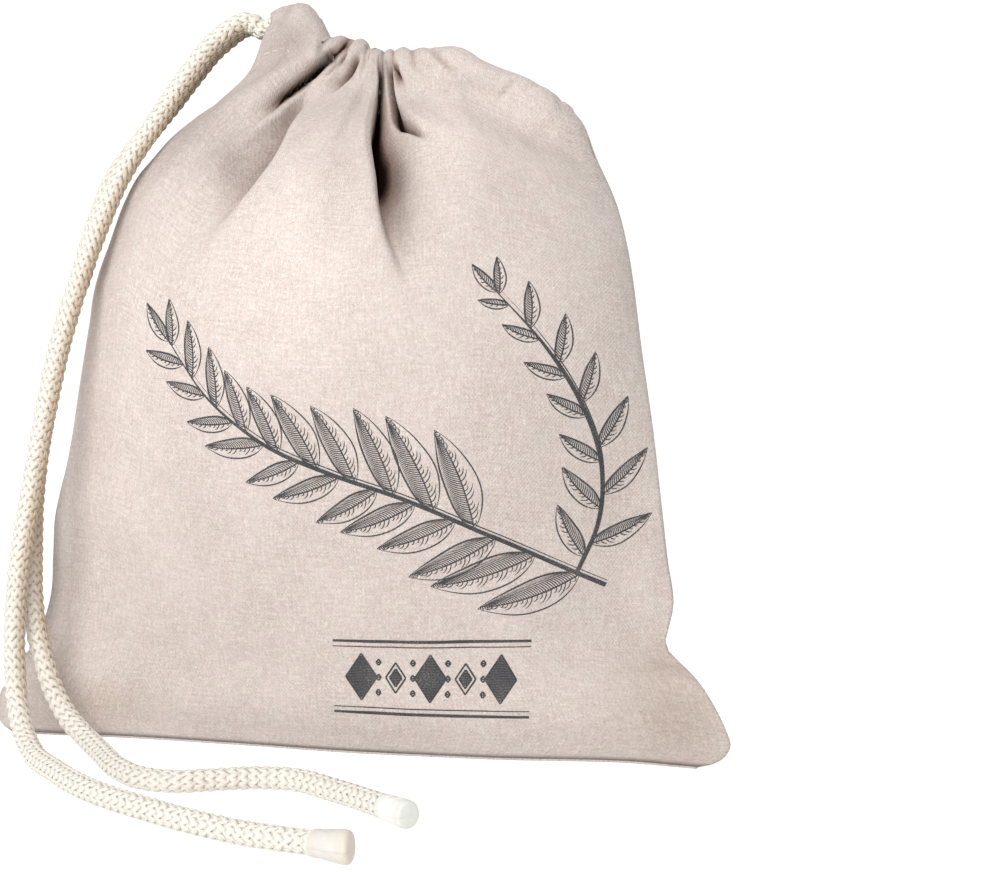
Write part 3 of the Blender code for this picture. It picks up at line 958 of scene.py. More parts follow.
@dataclass
class Braid:
    """A hollow braid: plump strands laid both ways round a core, one over and one under."""

    strands_each_way: int = 8
    pitch: float = 29.0
    middle: float = 3.30
    swing: float = 0.24
    half_width: float = 1.16
    half_thickness: float = 0.45
    uneven: float = 0.09
    slack_lengths: Pair = (3.1, 7.3)
    core: float = 3.24
    core_sides: int = 10
    core_skip: int = 4
    core_shade: float = 0.8
    ring: int = 5
    steps_a_turn: int = 60
    # Painted shade on the cord's side away from the light, which faces the bag: its direction, where it
    # starts and is full, and how much of it is left where the cord lies on the floor.
    shaded_side: Triple = (0.85, 0.10, -0.28)
    shade_from: float = -0.25
    shade_full: float = 0.95
    low_shade: float = 0.45

    @property
    def step(self) -> float:
        """The distance between two rings of a strand, along the cord."""
        return self.pitch / self.steps_a_turn

    def frames(self, line: Array) -> tuple[Array, Array]:
        """Two directions square to a line at each of its points, without twist.

        Args:
            line: The points of the line.

        Returns:
            The two directions, each square to the other.
        """
        ahead = unit(np.gradient(line, axis=0))
        first = np.empty_like(line)
        first[0] = unit(np.cross(ahead[0], (0.0, 1.0, 0.0)))
        for i in range(1, len(line)):
            kept = first[i - 1] - ahead[i] * (first[i - 1] @ ahead[i])
            first[i] = kept / np.linalg.norm(kept)
        return first, np.cross(ahead, first)

    def strand(
        self, line: Array, first: Array, second: Array, along: Array, lay: Lay, k: int
    ) -> tuple[Array, Array]:
        """One strand, wound round the core and over and under those of the other lay.

        Args:
            line: The middle of the cord.
            first: One direction square to it at each point.
            second: The other.
            along: How far along the cord each point is.
            lay: Which way round it is wound.
            k: Its number among the strands of its lay.

        Returns:
            Its points, ring by ring, and the yarn place of each.
        """
        angle = lay.value * 2 * math.pi * along / self.pitch + 2 * math.pi * k / self.strands_each_way
        crossed = lay.value * 2 * self.strands_each_way * along / self.pitch + 2 * k
        wave = np.cos(math.pi * (crossed - 0.5))
        short, long = self.slack_lengths
        slack = np.sin(along / short + 2.4 * k) * np.sin(along / long + 1.7 * k + lay.value)
        radius = self.middle + lay.value * self.swing * wave + self.uneven * slack
        radial = np.cos(angle)[:, None] * first + np.sin(angle)[:, None] * second
        middle = line + radial * radius[:, None]
        ahead = unit(np.gradient(middle, axis=0))
        side = unit(np.cross(ahead, radial))
        out = np.cross(side, ahead)
        rings = rings_round(middle, out, side, self.half_thickness, self.half_width, self.ring)
        number = 3.1 * k + 17.0 * (lay.value + 1)
        place = np.stack(np.broadcast_arrays(along[:, None], circle(self.ring) * lay.value, number), -1)
        return rings, place

    def mesh(self, line: Array) -> tuple[Array, Array, dict[str, Array]]:
        """The braid along a line.

        Args:
            line: Its middle, with points a step apart.

        Returns:
            Its points, its faces, and its attributes: the yarn place and painted shade of each point.
        """
        first, second = self.frames(line)
        along = along_line(line)
        points: list[Array] = []
        faces: list[Array] = []
        marks: list[Array] = []
        shades: list[Array] = []
        count = 0
        for lay in Lay:
            for k in range(self.strands_each_way):
                rings, place = self.strand(line, first, second, along, lay, k)
                points.append(rings.reshape(-1, 3))
                faces.append(grid_quads(len(line), self.ring, closed=True) + count)
                marks.append(place.reshape(-1, 3))
                shades.append(self.shade(rings, line).reshape(-1, 3))
                count += len(points[-1])
        core_points, core_faces = self.core_tube(line, first, second)
        points.append(core_points)
        faces.append(core_faces + count)
        marks.append(np.zeros_like(core_points))
        # The core, seen between the strands, gets most of the painted shade.
        shades.append(np.full_like(core_points, self.core_shade))
        attributes = {"strand": np.concatenate(marks), "tone": np.concatenate(shades)}
        return np.concatenate(points), np.concatenate(faces), attributes

    def shade(self, rings: Array, line: Array) -> Array:
        """How much shade is painted on the yarn: most on its side away from the light, which faces the bag,
        and less where the cord lies low.

        Args:
            rings: The points of one strand, ring by ring.
            line: The middle of the cord.

        Returns:
            The painted shade at each point, then two zeros.
        """
        outward = unit(rings - line[:, None])
        facing = outward @ unit(np.array(self.shaded_side))
        found = np.zeros(rings.shape)
        hanging = self.low_shade + (1 - self.low_shade) * ease(line[:, 2], 8.0, 40.0)
        found[..., 0] = ease(facing, self.shade_from, self.shade_full) * hanging[:, None]
        return found

    def core_tube(self, line: Array, first: Array, second: Array) -> tuple[Array, Array]:
        """The points and faces of the plain core that fills the middle of the braid.

        Args:
            line: The middle of the cord.
            first: One direction square to it at each point.
            second: The other.

        Returns:
            Its points and its faces.
        """
        keep = np.unique(np.append(np.arange(0, len(line), self.core_skip), len(line) - 1))
        rings = rings_round(line[keep], first[keep], second[keep], self.core, self.core, self.core_sides)
        return rings.reshape(-1, 3), grid_quads(len(keep), self.core_sides, closed=True)


class Tail(NamedTuple):
    """A free end of the cord: its route, its real length in metres, and the shape of its tip."""

    letter: str
    route: tuple[Triple, ...]
    length: float
    flare: float
    slant: float
    dip: Material


@dataclass
class Drawcord:
    """The cord: a stretch held in both casings and two tails with dipped ends."""

    bag: BagShape
    cotton: Material
    dip: Material
    pale_dip: Material
    join_x: float = -33.0
    gap: float = 0.3
    diameter: float = 0.008
    casing_points: int = 61
    tail_braid: Braid = field(default_factory=Braid)
    held_braid: Braid = field(default_factory=lambda: Braid(ring=4, steps_a_turn=40))

    def casing_line(self) -> Array:
        """The cord's middle from the front casing's left end round to the back one's."""
        across = np.linspace(-1.0, 1.0, self.casing_points)
        front = self.bag.mouth_points(across, Side.FRONT)
        turn = np.array([[MOUTH[-1].x + 0.1, SEAMS[-1].y, MOUTH[-1].height]])
        back = self.bag.mouth_points(across[::-1], Side.BACK)
        return np.concatenate([front, turn, back])

    def split(self) -> tuple[Array, Array, Array]:
        """The held stretch, and the two short ends that lead out of the casings."""
        points = self.casing_line()
        held = points[:, 0] >= self.join_x
        first = int(np.argmax(held))
        last = len(points) - int(np.argmax(held[::-1])) - 1
        ends = []
        for inside, outside in ((first, first - 1), (last, last + 1)):
            share = (points[inside, 0] - self.join_x) / (points[inside, 0] - points[outside, 0])
            ends.append(points[inside] + share * (points[outside] - points[inside]))
        stretch = np.concatenate([ends[:1], points[first : last + 1], ends[1:]])
        return stretch, points[:first][::-1], points[last + 1 :]

    def tail_line(self, join: Array, inside: Array, lead: Array, route: Sequence[Triple]) -> Array:
        """A tail's middle, from its join inside the casing to its tip.

        Args:
            join: The end of the held stretch.
            inside: The point of the held stretch before it.
            lead: The short end that leads out of the casing.
            route: The rest of the tail's route, in metres.

        Returns:
            The points of the middle, a braid's step apart.
        """
        start = join + unit(join - inside) * self.gap
        return smooth_route(np.concatenate([[start], lead[-1:], np.array(route) / MM]), self.tail_braid.step)

    def build_tail(self, tail: Tail, line: Array) -> list[Piece]:
        """Makes one tail and its tip.

        Args:
            tail: Which tail.
            line: Its middle.

        Returns:
            The tail and the tip.
        """
        points, faces, marks = self.tail_braid.mesh(line)
        cord = make_object("hanging_cord_" + tail.letter, points, faces, self.cotton, marks)
        tip = CordTip("dipped_end_" + tail.letter, tail.flare, tail.slant).build(line, tail.dip)
        for piece, node, slot in ((cord, "cord_tail_", "cord"), (tip, "cord_tip_", "dipped_tip")):
            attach(piece, "root")
            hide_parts(node + tail.letter)
        return [cord, tip]

    def build(self) -> list[Piece]:
        """Makes the held stretch, the tails and their tips."""
        stretch, front_lead, back_lead = self.split()
        held = smooth_route(stretch, self.held_braid.step)
        points, faces, marks = self.held_braid.mesh(held)
        cord = make_object("held_cord", points, faces, self.cotton, marks)
        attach(cord, "root")
        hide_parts("drawcord")
        tail_a = Tail("a", TAIL_A_ROUTE, 0.465, 1.0, 0.30, self.dip)
        tail_b = Tail("b", TAIL_B_ROUTE, 0.467, 0.30, 0.05, self.pale_dip)
        line_a = self.tail_line(held[0], held[1], front_lead, tail_a.route)
        line_b = self.tail_line(held[-1], held[-2], back_lead, tail_b.route)
        return [cord, *self.build_tail(tail_a, line_a), *self.build_tail(tail_b, line_b)]


@dataclass
class CordTip:
    """A cord end dipped in wax: a short cap that flares a little and is rounded off."""

    name: str
    flare: float = 1.0
    slant: float = 0.0
    gap: float = 0.3
    sides: int = 48
    rings: int = 52
    collar: float = 4.2
    yarn_radius: float = 4.7
    dent_depth: float = 0.018
    dent_length: float = 7.0
    slant_from: float = 2.0
    slant_full: float = 11.0
    profile: tuple[Pair, ...] = (
        (-1.4, 3.7), (-0.9, 4.16), (0, 4.3), (0.8, 4.22), (1.6, 4.3), (3.4, 4.56), (6, 4.94), (8.8, 5.22),
        (10.6, 5.16), (11.6, 4.74), (12.2, 3.8), (12.4, 2.6), (12.5, 0.02),
    )

    def build(self, line: Array, finish: Material) -> Piece:
        """Makes the cap at the end of a cord's middle line.

        Args:
            line: The cord's middle line.
            finish: The cap's material.

        Returns:
            The cap.
        """
        ahead = unit(line[-1] - line[-3])
        start = line[-1] + ahead * self.gap
        sideways = unit(np.cross(ahead, (0.0, 0.0, 1.0)))
        upward = np.cross(sideways, ahead)
        places = np.linspace(0, len(self.profile) - 1, self.rings)
        index = np.arange(len(self.profile))
        along = smooth_line(index, [place for place, _ in self.profile], places)
        radius = smooth_line(index, [self.flared(wide) for _, wide in self.profile], places)
        turns = circle(self.sides)
        whole = (len(places), self.sides)
        dents = gentle_waves(
            np.broadcast_to(np.sin(turns)[None] * 6.0, whole),
            np.broadcast_to(along[:, None] + np.cos(turns)[None] * 4.0, whole),
            self.dent_length,
            ord(self.name[-1]),
        )
        wide = radius[:, None] * (1 + self.dent_depth * dents)
        across = np.cos(turns)[None] * wide
        tilt = self.slant * ease(along, self.slant_from, self.slant_full)[:, None] * across
        ring = across[..., None] * sideways + (np.sin(turns)[None] * wide)[..., None] * upward
        points = start + ahead * (along[:, None] + tilt)[..., None] + ring
        marks = np.stack(np.broadcast_arrays(along[:, None], turns[None] * self.yarn_radius, 0.0), -1)
        faces = grid_quads(len(places), self.sides, closed=True)
        return make_object(self.name, points.reshape(-1, 3), faces, finish, {"strand": marks.reshape(-1, 3)})

    def flared(self, radius: float) -> float:
        """A radius of the profile with the flare that this tip has."""
        return self.collar + (radius - self.collar) * self.flare if radius > self.collar else radius


# ---- Panels


@dataclass(frozen=True)
class BagShape:
    """The bag's shape as it stands filled out, before its folds."""

    left_top: float = 252.5
    right_top: float = 216.5
    bow_height: float = 70.0
    casing_drop: float = 12.0
    back_dip: float = 5.5
    dip_place: float = -0.66
    dip_width: float = 0.16
    end_turn: float = 0.985
    gather_levels: tuple[float, ...] = (0.0, 0.5, 0.75, 0.9, 1.0)
    gather_shares: tuple[float, ...] = (0.0, 0.0, 0.14, 0.42, 1.0)
    cloth: float = 0.7
    seam_gap: float = 0.1

    @property
    def seam_face(self) -> float:
        """From the seam to a panel's outer face."""
        return self.cloth + self.seam_gap / 2

    def seam_y(self, x: Array, height: Array) -> Array:
        """How far back the seams lie."""
        bow = read_table(BOWS, "forward", x) * (1 - ease(height, 0.0, self.bow_height))
        return read_table(SEAMS, "y", height) - bow

    def mouth_points(self, across: Array, side: Side) -> Array:
        """The cord's middle in one casing.

        Args:
            across: Places across the panel.
            side: Which panel.

        Returns:
            The middle's points.
        """
        x = read_table(MOUTH, "x", across)
        height = read_table(MOUTH, "height", across)
        y = self.seam_y(x, height) + side.value * read_table(MOUTH, "half", across)
        if side is Side.BACK:
            height = height - self.back_dip * hump(across, self.dip_place, self.dip_width)
        return np.stack([x, y, height], -1)

    def mouth_frames(self, across: Array, side: Side) -> tuple[Array, Array, Array]:
        """The cord's middle, with the outward and upward directions of its casing.

        Args:
            across: Places across the panel.
            side: Which panel.

        Returns:
            The middle's points and the two directions at each.
        """
        middle = self.mouth_points(across, side)
        ahead = unit(np.gradient(middle, across, axis=0))
        settle = ease(across, self.end_turn, 1.0)[:, None]
        ahead = unit(ahead * (1 - settle) + settle * np.array((0.0, -side.value, 0.0)))
        level = np.cross(ahead, (0.0, 0.0, 1.0))
        out = unit(level) * -side.value
        up = unit(np.cross(out, ahead)) * -side.value
        return middle, out, up

    def wall_points(self, across: Array, level: Array, side: Side) -> Array:
        """A panel's outer face below its casing, before its folds.

        Args:
            across: Places across the panel.
            level: The level of each.
            side: Which panel.

        Returns:
            The points.
        """
        stitch_height = read_table(MOUTH, "height", across) - self.casing_drop
        height = level * stitch_height
        left = read_table(LEFT_EDGE, "x", level * self.left_top)
        right = read_table(RIGHT_EDGE, "x", level * self.right_top)
        mouth_x = read_table(MOUTH, "x", across)
        gathered = 2 * (mouth_x - MOUTH[0].x) / (MOUTH[-1].x - MOUTH[0].x) - 1
        drawn = smooth_line(self.gather_levels, self.gather_shares, level)
        place = (1 - drawn) * across + drawn * gathered
        x = left + (right - left) * (place + 1) / 2
        swell = read_table(SECTIONS, side.name.lower(), level)
        blunt = read_table(SECTIONS, "blunt", level)
        fall = read_table(SECTIONS, "fall", level)
        crown = np.maximum(1 - np.abs(place) ** blunt, 0.0) ** fall
        y = self.seam_y(x, height) + side.value * (self.seam_face + swell * crown)
        return np.stack([x, y, height], -1)


class Spot(NamedTuple):
    """A point of a fold: where it is, how deep, and how wide to its left and right."""

    x: float
    height: float
    depth: float
    left: float
    right: float


@dataclass(frozen=True)
class Fold:
    """A trough in a panel, or a ridge where its depth is below 0.

    Its left and right are those of someone who looks along its spots from the
    first to the last. A lean slides the trough's bottom towards its right, under
    that lip, or towards its left where it is below 0. Its dark is shade painted into
    the trough, strongest where the trough is deepest.
    """

    spots: tuple[Spot, ...]
    lean: float = 0.0
    dark: float = 0.0
    fineness: int = 48
    reach: float = 2.6
    dark_reach: float = 1.1
    dark_shift: float = 0.3
    dark_depth: float = 0.92

    def line(self) -> Array:
        """The fold's spots, with many more between them on a smooth curve."""
        table = np.array(self.spots, float)
        places = along_line(table[:, :2])
        at = np.linspace(0.0, places[-1], self.fineness)
        return np.stack([smooth_line(places, column, at) for column in table.T], -1)

    def near(self, line: Array, x: Array, height: Array) -> Array:
        """Which points the fold can reach.

        Args:
            line: The fold's line.
            x: The points' places across the bag.
            height: Their heights.

        Returns:
            True at each point that is near enough.
        """
        reach = self.reach * max(max(spot.left, spot.right) for spot in self.spots)
        low = line[:, :2].min(0) - reach
        high = line[:, :2].max(0) + reach
        return (x > low[0]) & (x < high[0]) & (height > low[1]) & (height < high[1])

    def push(self, x: Array, height: Array) -> Array:
        """How the fold moves points of the panel.

        Args:
            x: The points' places across the bag.
            height: Their heights.

        Returns:
            Distances inward, across the bag and upward, and the shade painted there, as layers.
        """
        line = self.line()
        near = self.near(line, x, height)
        found = np.zeros((4, *x.shape))
        if not near.any():
            return found
        spot = np.stack([x[near], height[near]], -1)
        start = line[:-1, :2]
        run = line[1:, :2] - start
        share = ((spot[:, None] - start[None]) * run[None]).sum(-1) / np.maximum((run * run).sum(-1), 1e-12)
        share = np.clip(share, 0.0, 1.0)
        gap = spot[:, None] - (start[None] + share[..., None] * run[None])
        away = np.linalg.norm(gap, axis=-1)
        k = away.argmin(1)
        rows = np.arange(len(spot))
        part = share[rows, k][:, None]
        value = line[:-1][k] * (1 - part) + line[1:][k] * part
        ahead = unit(run[k])
        rightward = np.stack([-ahead[:, 1], ahead[:, 0]], -1)
        away = away[rows, k]
        turn = (gap[rows, k] * rightward).sum(-1) / np.maximum(away, 1e-9)
        _, _, depth, left, right = value.T
        width = left + (right - left) * (turn + 1) / 2
        bell = hump(away, 0.0, width)
        deepest = max(abs(spot.depth) for spot in self.spots)
        open_side = self.dark_reach - self.dark_shift * np.sign(self.lean) * turn
        deep = ease(np.abs(depth) / deepest, 0.0, self.dark_depth)
        slide = self.lean * bell * np.abs(depth) / deepest
        found[0][near] = depth * bell
        found[1][near] = slide * rightward[:, 0]
        found[2][near] = slide * rightward[:, 1]
        # The shade painted into the trough.
        found[3][near] = self.dark * deep * hump(away, 0.0, width * open_side)
        return found


class Pleat(NamedTuple):
    """A narrow valley across a casing: where, how far it slants, how wide and deep."""

    x: float
    slant: float
    width: float
    depth: float


class Tone(NamedTuple):
    """A soft patch of painted shade, or of painted light where its shade is below 0, and of a warmer tint:
    its place and its size.
    """

    x: float
    height: float
    wide: float
    tall: float
    shade: float
    tan: float = 0.0


class CasingEnd(NamedTuple):
    """How a casing's end slants in towards its crest, and how much of that it sinks.

    It slants from this share of the way out, and between these heights about its cord.
    """

    inward: float
    sink: float
    start: float
    low: float
    high: float


class Wave(NamedTuple):
    """Gentle unevenness of the cloth: how high it is, and how long."""

    rise: float
    length: float


@dataclass
class LinenPanel:
    """One linen panel with its casing, and the back one with the base it stands on."""

    side: Side
    bag: BagShape
    folds: tuple[Fold, ...]
    pleats: tuple[Pleat, ...]
    tones: tuple[Tone, ...]
    columns: int
    levels: Array
    floor_steps: int = 0
    casing_steps: int = 3
    half_flat: float = 140.0
    crowding: float = 2.4
    side_crowding: float = 1.2
    cord_reach: float = 4.95
    drawn_from: float = 0.86
    drawn_power: float = 1.6
    left_end: CasingEnd = CasingEnd(6.6, 0.24, 0.70, -5.0, 5.5)
    right_end: CasingEnd = CasingEnd(4.0, 0.35, 0.87, -7.0, 5.0)
    soft_rows: float = 9.0
    soft_passes: int = 60
    waves: tuple[Wave, ...] = (Wave(0.50, 44.0), Wave(0.14, 15.0))
    wave_seed: int = 5
    ridge: float = 0.32
    crest_above_seam: float = 17.0
    pleat_power: float = 1.7
    pleats_begin: Pair = (-13.0, -5.5)
    pleats_end: Pair = (5.0, 16.0)
    # Painted shade: in deep folds and in the gathers' valleys, a base shade that patches of painted light
    # take away, and a strip by the left edge low down, beside the hanging cord.
    fold_hollow: float = 0.20
    pleat_hollow: float = 0.45
    plain_shade: float = 0.145
    edge_shade: float = 0.42
    edge_width: float = 0.035
    edge_height: float = 58.0
    edge_tall: float = 38.0
    back_cloth_offset: float = 400.0
    outer: Array | None = None

    def across(self) -> Array:
        """Places across the panel, closer together at its sides and under the gathers."""
        fine = np.linspace(-1.0, 1.0, 2001)
        sides = ease(np.abs(fine), 0.86, 1.0)
        gathers = ease(fine, -0.72, -0.5) * (1 - ease(fine, 0.34, 0.5))
        crowd = 1.0 + self.crowding * gathers + self.side_crowding * sides
        total = np.concatenate([[0.0], np.cumsum((crowd[1:] + crowd[:-1]) / 2)])
        return np.interp(np.linspace(0.0, total[-1], self.columns + 1), total, fine)

    def wall_rows(self, across: Array) -> tuple[Array, Array]:
        """The rows of the outer face up to the stitching.

        Args:
            across: Places across the panel.

        Returns:
            The rows' points, and the level of each row.
        """
        bag = self.bag
        levels = self.levels
        wall = np.stack([bag.wall_points(across, np.full(across.shape, at), self.side) for at in levels])
        middle, out, _ = bag.mouth_frames(across, self.side)
        neck = read_table(NECK, "out", across)[:, None]
        stitching = middle + out * neck - np.array((0.0, 0.0, bag.casing_drop))
        share = ease(levels, self.drawn_from, 1.0)[:, None, None] ** self.drawn_power
        wall = wall + share * (stitching - wall[-1])
        if not self.floor_steps:
            lift = bag.cloth + bag.seam_gap
            wall[..., 2] += lift * (1 - ease(wall[..., 2], 0.0, bag.bow_height))
            return wall, levels
        front_edge = wall[0].copy()
        front_edge[:, 1] = bag.seam_y(front_edge[:, 0], np.zeros(len(across))) - bag.seam_face
        shares = np.linspace(0.0, 1.0, self.floor_steps + 1)[:-1, None, None]
        base = front_edge + shares * (wall[0] - front_edge)
        return np.concatenate([base, wall]), np.concatenate([np.zeros(self.floor_steps), levels])

    def casing_rows(self, across: Array) -> tuple[Array, Array, Array]:
        """The rows of the casing's outer face above the stitching.

        Args:
            across: Places across the panel.

        Returns:
            The rows' points, the way out of the casing at each, and how far round
            the casing each row is.
        """
        middle, out, up = self.bag.mouth_frames(across, self.side)
        spare = read_table(NECK, "out", across)[:, None] - TIGHT_NECK
        turns = [Turn(TIGHT_NECK, -self.bag.casing_drop), *CASING]
        index = np.arange(len(turns))
        at = np.linspace(0, len(CASING), len(CASING) * self.casing_steps + 1)[1:]
        outs = smooth_line(index, [t.out for t in turns], at)
        ups = smooth_line(index, [t.up for t in turns], at)
        rows = []
        ways = []
        for place, o, u in zip(at, outs, ups):
            wider = spare * max(0.0, 1 - place / 5)
            hang = float(ease(np.array(-u), 0.0, 9.0))
            upward = unit(up * (1 - hang) + np.array((0.0, 0.0, hang)))
            row = middle + out * (o + wider) + upward * u
            for way, end in ((-1, self.left_end), (1, self.right_end)):
                tall = float(ease(np.array(u), end.low, end.high))
                cut = end.inward * ease(way * across, end.start, 1.0) * tall
                row[:, 0] -= way * cut
                row[:, 2] -= end.sink * cut
            rows.append(row)
            away = unit(np.array([max(o, 0.01) if place < 6 else o, max(u, 0.0)]))
            ways.append(out * away[0] + up * away[1])
        return np.stack(rows), np.stack(ways), at

    def pleat_depth(self, x: Array, drop: Array) -> Array:
        """How far the gathers' valleys push the casing in.

        Args:
            x: Places across the bag.
            drop: How far below the casing's top each place is, along the cloth.

        Returns:
            Distances inward.
        """
        total = np.zeros(np.broadcast(x, drop).shape)
        low = 0.7 + 0.3 * ease(np.abs(drop), 1.0, 6.0)
        for pleat in self.pleats:
            middle = pleat.x + pleat.slant * drop
            share = low if pleat.depth < 0 else 1.0
            valley = np.exp(-np.abs((x - middle) / pleat.width) ** self.pleat_power)
            total += share * pleat.depth * valley
        fade = ease(-drop, *self.pleats_begin) * (1 - ease(-drop, *self.pleats_end))
        return total * fade

    def fold_push(self, plain: Array, walls: int, at: Array) -> tuple[Array, Array]:
        """How the folds move the outer face, and how much shade is painted into their hollows.

        Args:
            plain: The face's points before its folds.
            walls: How many of its rows lie below the stitching.
            at: How far round the casing each row above them is.

        Returns:
            Distances inward, across the bag and upward, and then the painted shade.
        """
        x, height = plain[..., 0], plain[..., 2]
        rows = walls + 6 * self.casing_steps
        push = np.zeros((3, *x.shape))
        hollow = np.zeros(x.shape)
        for crease in self.folds:
            found = crease.push(x[:rows], height[:rows])
            push[:, :rows] += found[:3]
            hollow[:rows] = np.maximum(hollow[:rows], found[3])
        push[:, walls:] *= (1 - ease(at, 4.2, 6.0))[None, :, None]
        return push, hollow

    def seam_ridge(self, height: Array) -> Array:
        """The ridge along the bottom seam, with a groove above it."""
        return self.ridge * (hump(height, 4.6, 1.1) - 0.7 * hump(height, 7.0, 1.4))

    def outer_face(self) -> tuple[Array, Array]:
        """The panel's outer face, from its bottom edge to the hem's edge.

        Returns:
            The face's points, and where each is on the flat cloth and how much shade is painted there.
        """
        across = self.across()
        wall, levels = self.wall_rows(across)
        casing, ways, at = self.casing_rows(across)
        walls = len(wall)
        plain = self.soften(np.concatenate([wall, casing]), walls)
        rows = np.linalg.norm(np.diff(plain, axis=0), axis=-1).mean(1)
        up_cloth = np.concatenate([[0.0], np.cumsum(rows)])
        flat_u = np.broadcast_to(across * self.half_flat, plain.shape[:2])
        flat_v = np.broadcast_to(up_cloth[:, None], plain.shape[:2])
        push, hollow = self.fold_push(plain, walls, at)
        depth = push[0]
        still = ease(levels, 0.01, 0.12)[:, None]
        for number, wave in enumerate(self.waves):
            waves = gentle_waves(flat_u[:walls], flat_v[:walls], wave.length, self.wave_seed + number)
            depth[:walls] += wave.rise * waves * still
        if self.side is Side.FRONT:
            depth -= self.seam_ridge(plain[..., 2])
        push *= ease(1 - np.abs(across), 0.0, 0.05)[None, None]
        drop = up_cloth[walls - 1] + self.crest_above_seam - flat_v
        pleats = self.pleat_depth(plain[..., 0], drop)
        moved = self.moved(plain, push, pleats, ways)
        # More shade painted where the folds are deep and in the gathers' valleys.
        hollow += self.fold_hollow * ease(depth, 2.5, 12.0)
        hollow += self.pleat_hollow * ease(pleats, 0.4, 1.8) * (drop > -4.0)
        offset = self.back_cloth_offset * (self.side is Side.BACK)
        return moved, np.stack([flat_u + offset, flat_v, np.clip(hollow, 0.0, 1.0)], -1)

    def moved(self, plain: Array, push: Array, pleats: Array, ways: Array) -> Array:
        """Moves the outer face into its folds, and keeps it off the cord, seams and floor.

        Args:
            plain: The face's points before its folds.
            push: How far the folds move each inward, across the bag and upward.
            pleats: How far the gathers push each in.
            ways: The way out of the casing at each point above the stitching.

        Returns:
            The points.
        """
        walls = len(plain) - len(ways)
        inward = -grid_normals(plain) * -self.side.value
        points = plain + inward * push[0][..., None]
        points[..., 0] += push[1]
        points[..., 2] += push[2]
        points[:walls] += inward[:walls] * pleats[:walls][..., None]
        points[walls:] -= ways * pleats[walls:][..., None]
        points = self.keep_off_cord(points, *self.bag.mouth_frames(self.across(), self.side))
        if self.floor_steps:
            points[: self.floor_steps + 1, :, 2] = 0.0
            points[..., 2] = np.maximum(points[..., 2], 0.0)
        self.keep_off_seam(points, self.bag.seam_face)
        return points

    def keep_off_seam(self, points: Array, distance: float) -> None:
        """Keeps points above the base at least this far on the panel's own side of the seam.

        Args:
            points: The points, which are changed.
            distance: How far off they stay.
        """
        nearest = self.bag.seam_y(points[..., 0], points[..., 2]) + self.side.value * distance
        own_side = np.minimum if self.side is Side.FRONT else np.maximum
        held = own_side(points[..., 1], nearest)
        points[self.floor_steps :, :, 1] = held[self.floor_steps :]

    def tone(self, outer: Array) -> Array:
        """The shade and light painted on the cloth, and how much warmer it is.

        Args:
            outer: The outer face's points.

        Returns:
            Painted shade, warm tint and 0 at each point.
        """
        x, height = outer[..., 0], outer[..., 2]
        found = np.zeros(outer.shape)
        for tone in self.tones:
            patch = hump(x, tone.x, tone.wide) * hump(height, tone.height, tone.tall)
            found[..., 0] += tone.shade * patch
            found[..., 1] += tone.tan * patch
        # A painted shadow along the left edge, low down, beside the hanging cord.
        by_edge = hump(self.across(), -1.0, self.edge_width)
        low_down = hump(height, self.edge_height, self.edge_tall)
        found[..., 0] += self.edge_shade * by_edge * low_down
        # A base painted shade everywhere, which the patches of painted light take away.
        found[..., 0] += self.plain_shade
        return np.clip(found, 0.0, 1.0)

    def soften(self, grid: Array, seam_row: int) -> Array:
        """Rounds off the bend between the wall and the casing.

        Args:
            grid: The face's points, row above row.
            seam_row: The first row of the casing.

        Returns:
            The points, smoothed up the cloth near that row.
        """
        share = hump(np.arange(len(grid)), seam_row - 2, self.soft_rows)[:, None, None]
        for _ in range(self.soft_passes):
            even = grid.copy()
            even[1:-1] = 0.25 * grid[:-2] + 0.5 * grid[1:-1] + 0.25 * grid[2:]
            grid = grid + share * (even - grid)
        return grid

    def keep_off_cord(self, points: Array, middle: Array, out: Array, up: Array) -> Array:
        """Moves points that lie inside the cord out to its surface.

        Args:
            points: The face's points.
            middle: The cord's middle at each column.
            out: The way out of the casing at each column.
            up: The way up at each column.

        Returns:
            The points, none of them inside the cord.
        """
        gap = points - middle
        outs = (gap * out).sum(-1)
        ups = (gap * up).sum(-1)
        away = np.maximum(np.hypot(outs, ups), 1e-6)
        more = np.maximum(self.cord_reach / away - 1.0, 0.0)
        return points + (out * outs[..., None] + up * ups[..., None]) * more[..., None]

    def inner_face(self, outer: Array) -> Array:
        """The panel's inner face.

        Args:
            outer: The outer face's points.

        Returns:
            The inner face's points.
        """
        inner = outer + grid_normals(outer) * self.side.value * self.bag.cloth
        self.keep_off_seam(inner, self.bag.seam_gap / 2)
        lowest = self.bag.cloth
        if self.floor_steps:
            base = slice(self.floor_steps + 1)
            inner[base, :, :2] = outer[base, :, :2]
            inner[base, :, 2] = lowest
        else:
            lowest += self.bag.seam_gap
        inner[..., 2] = np.maximum(inner[..., 2], lowest)
        return inner

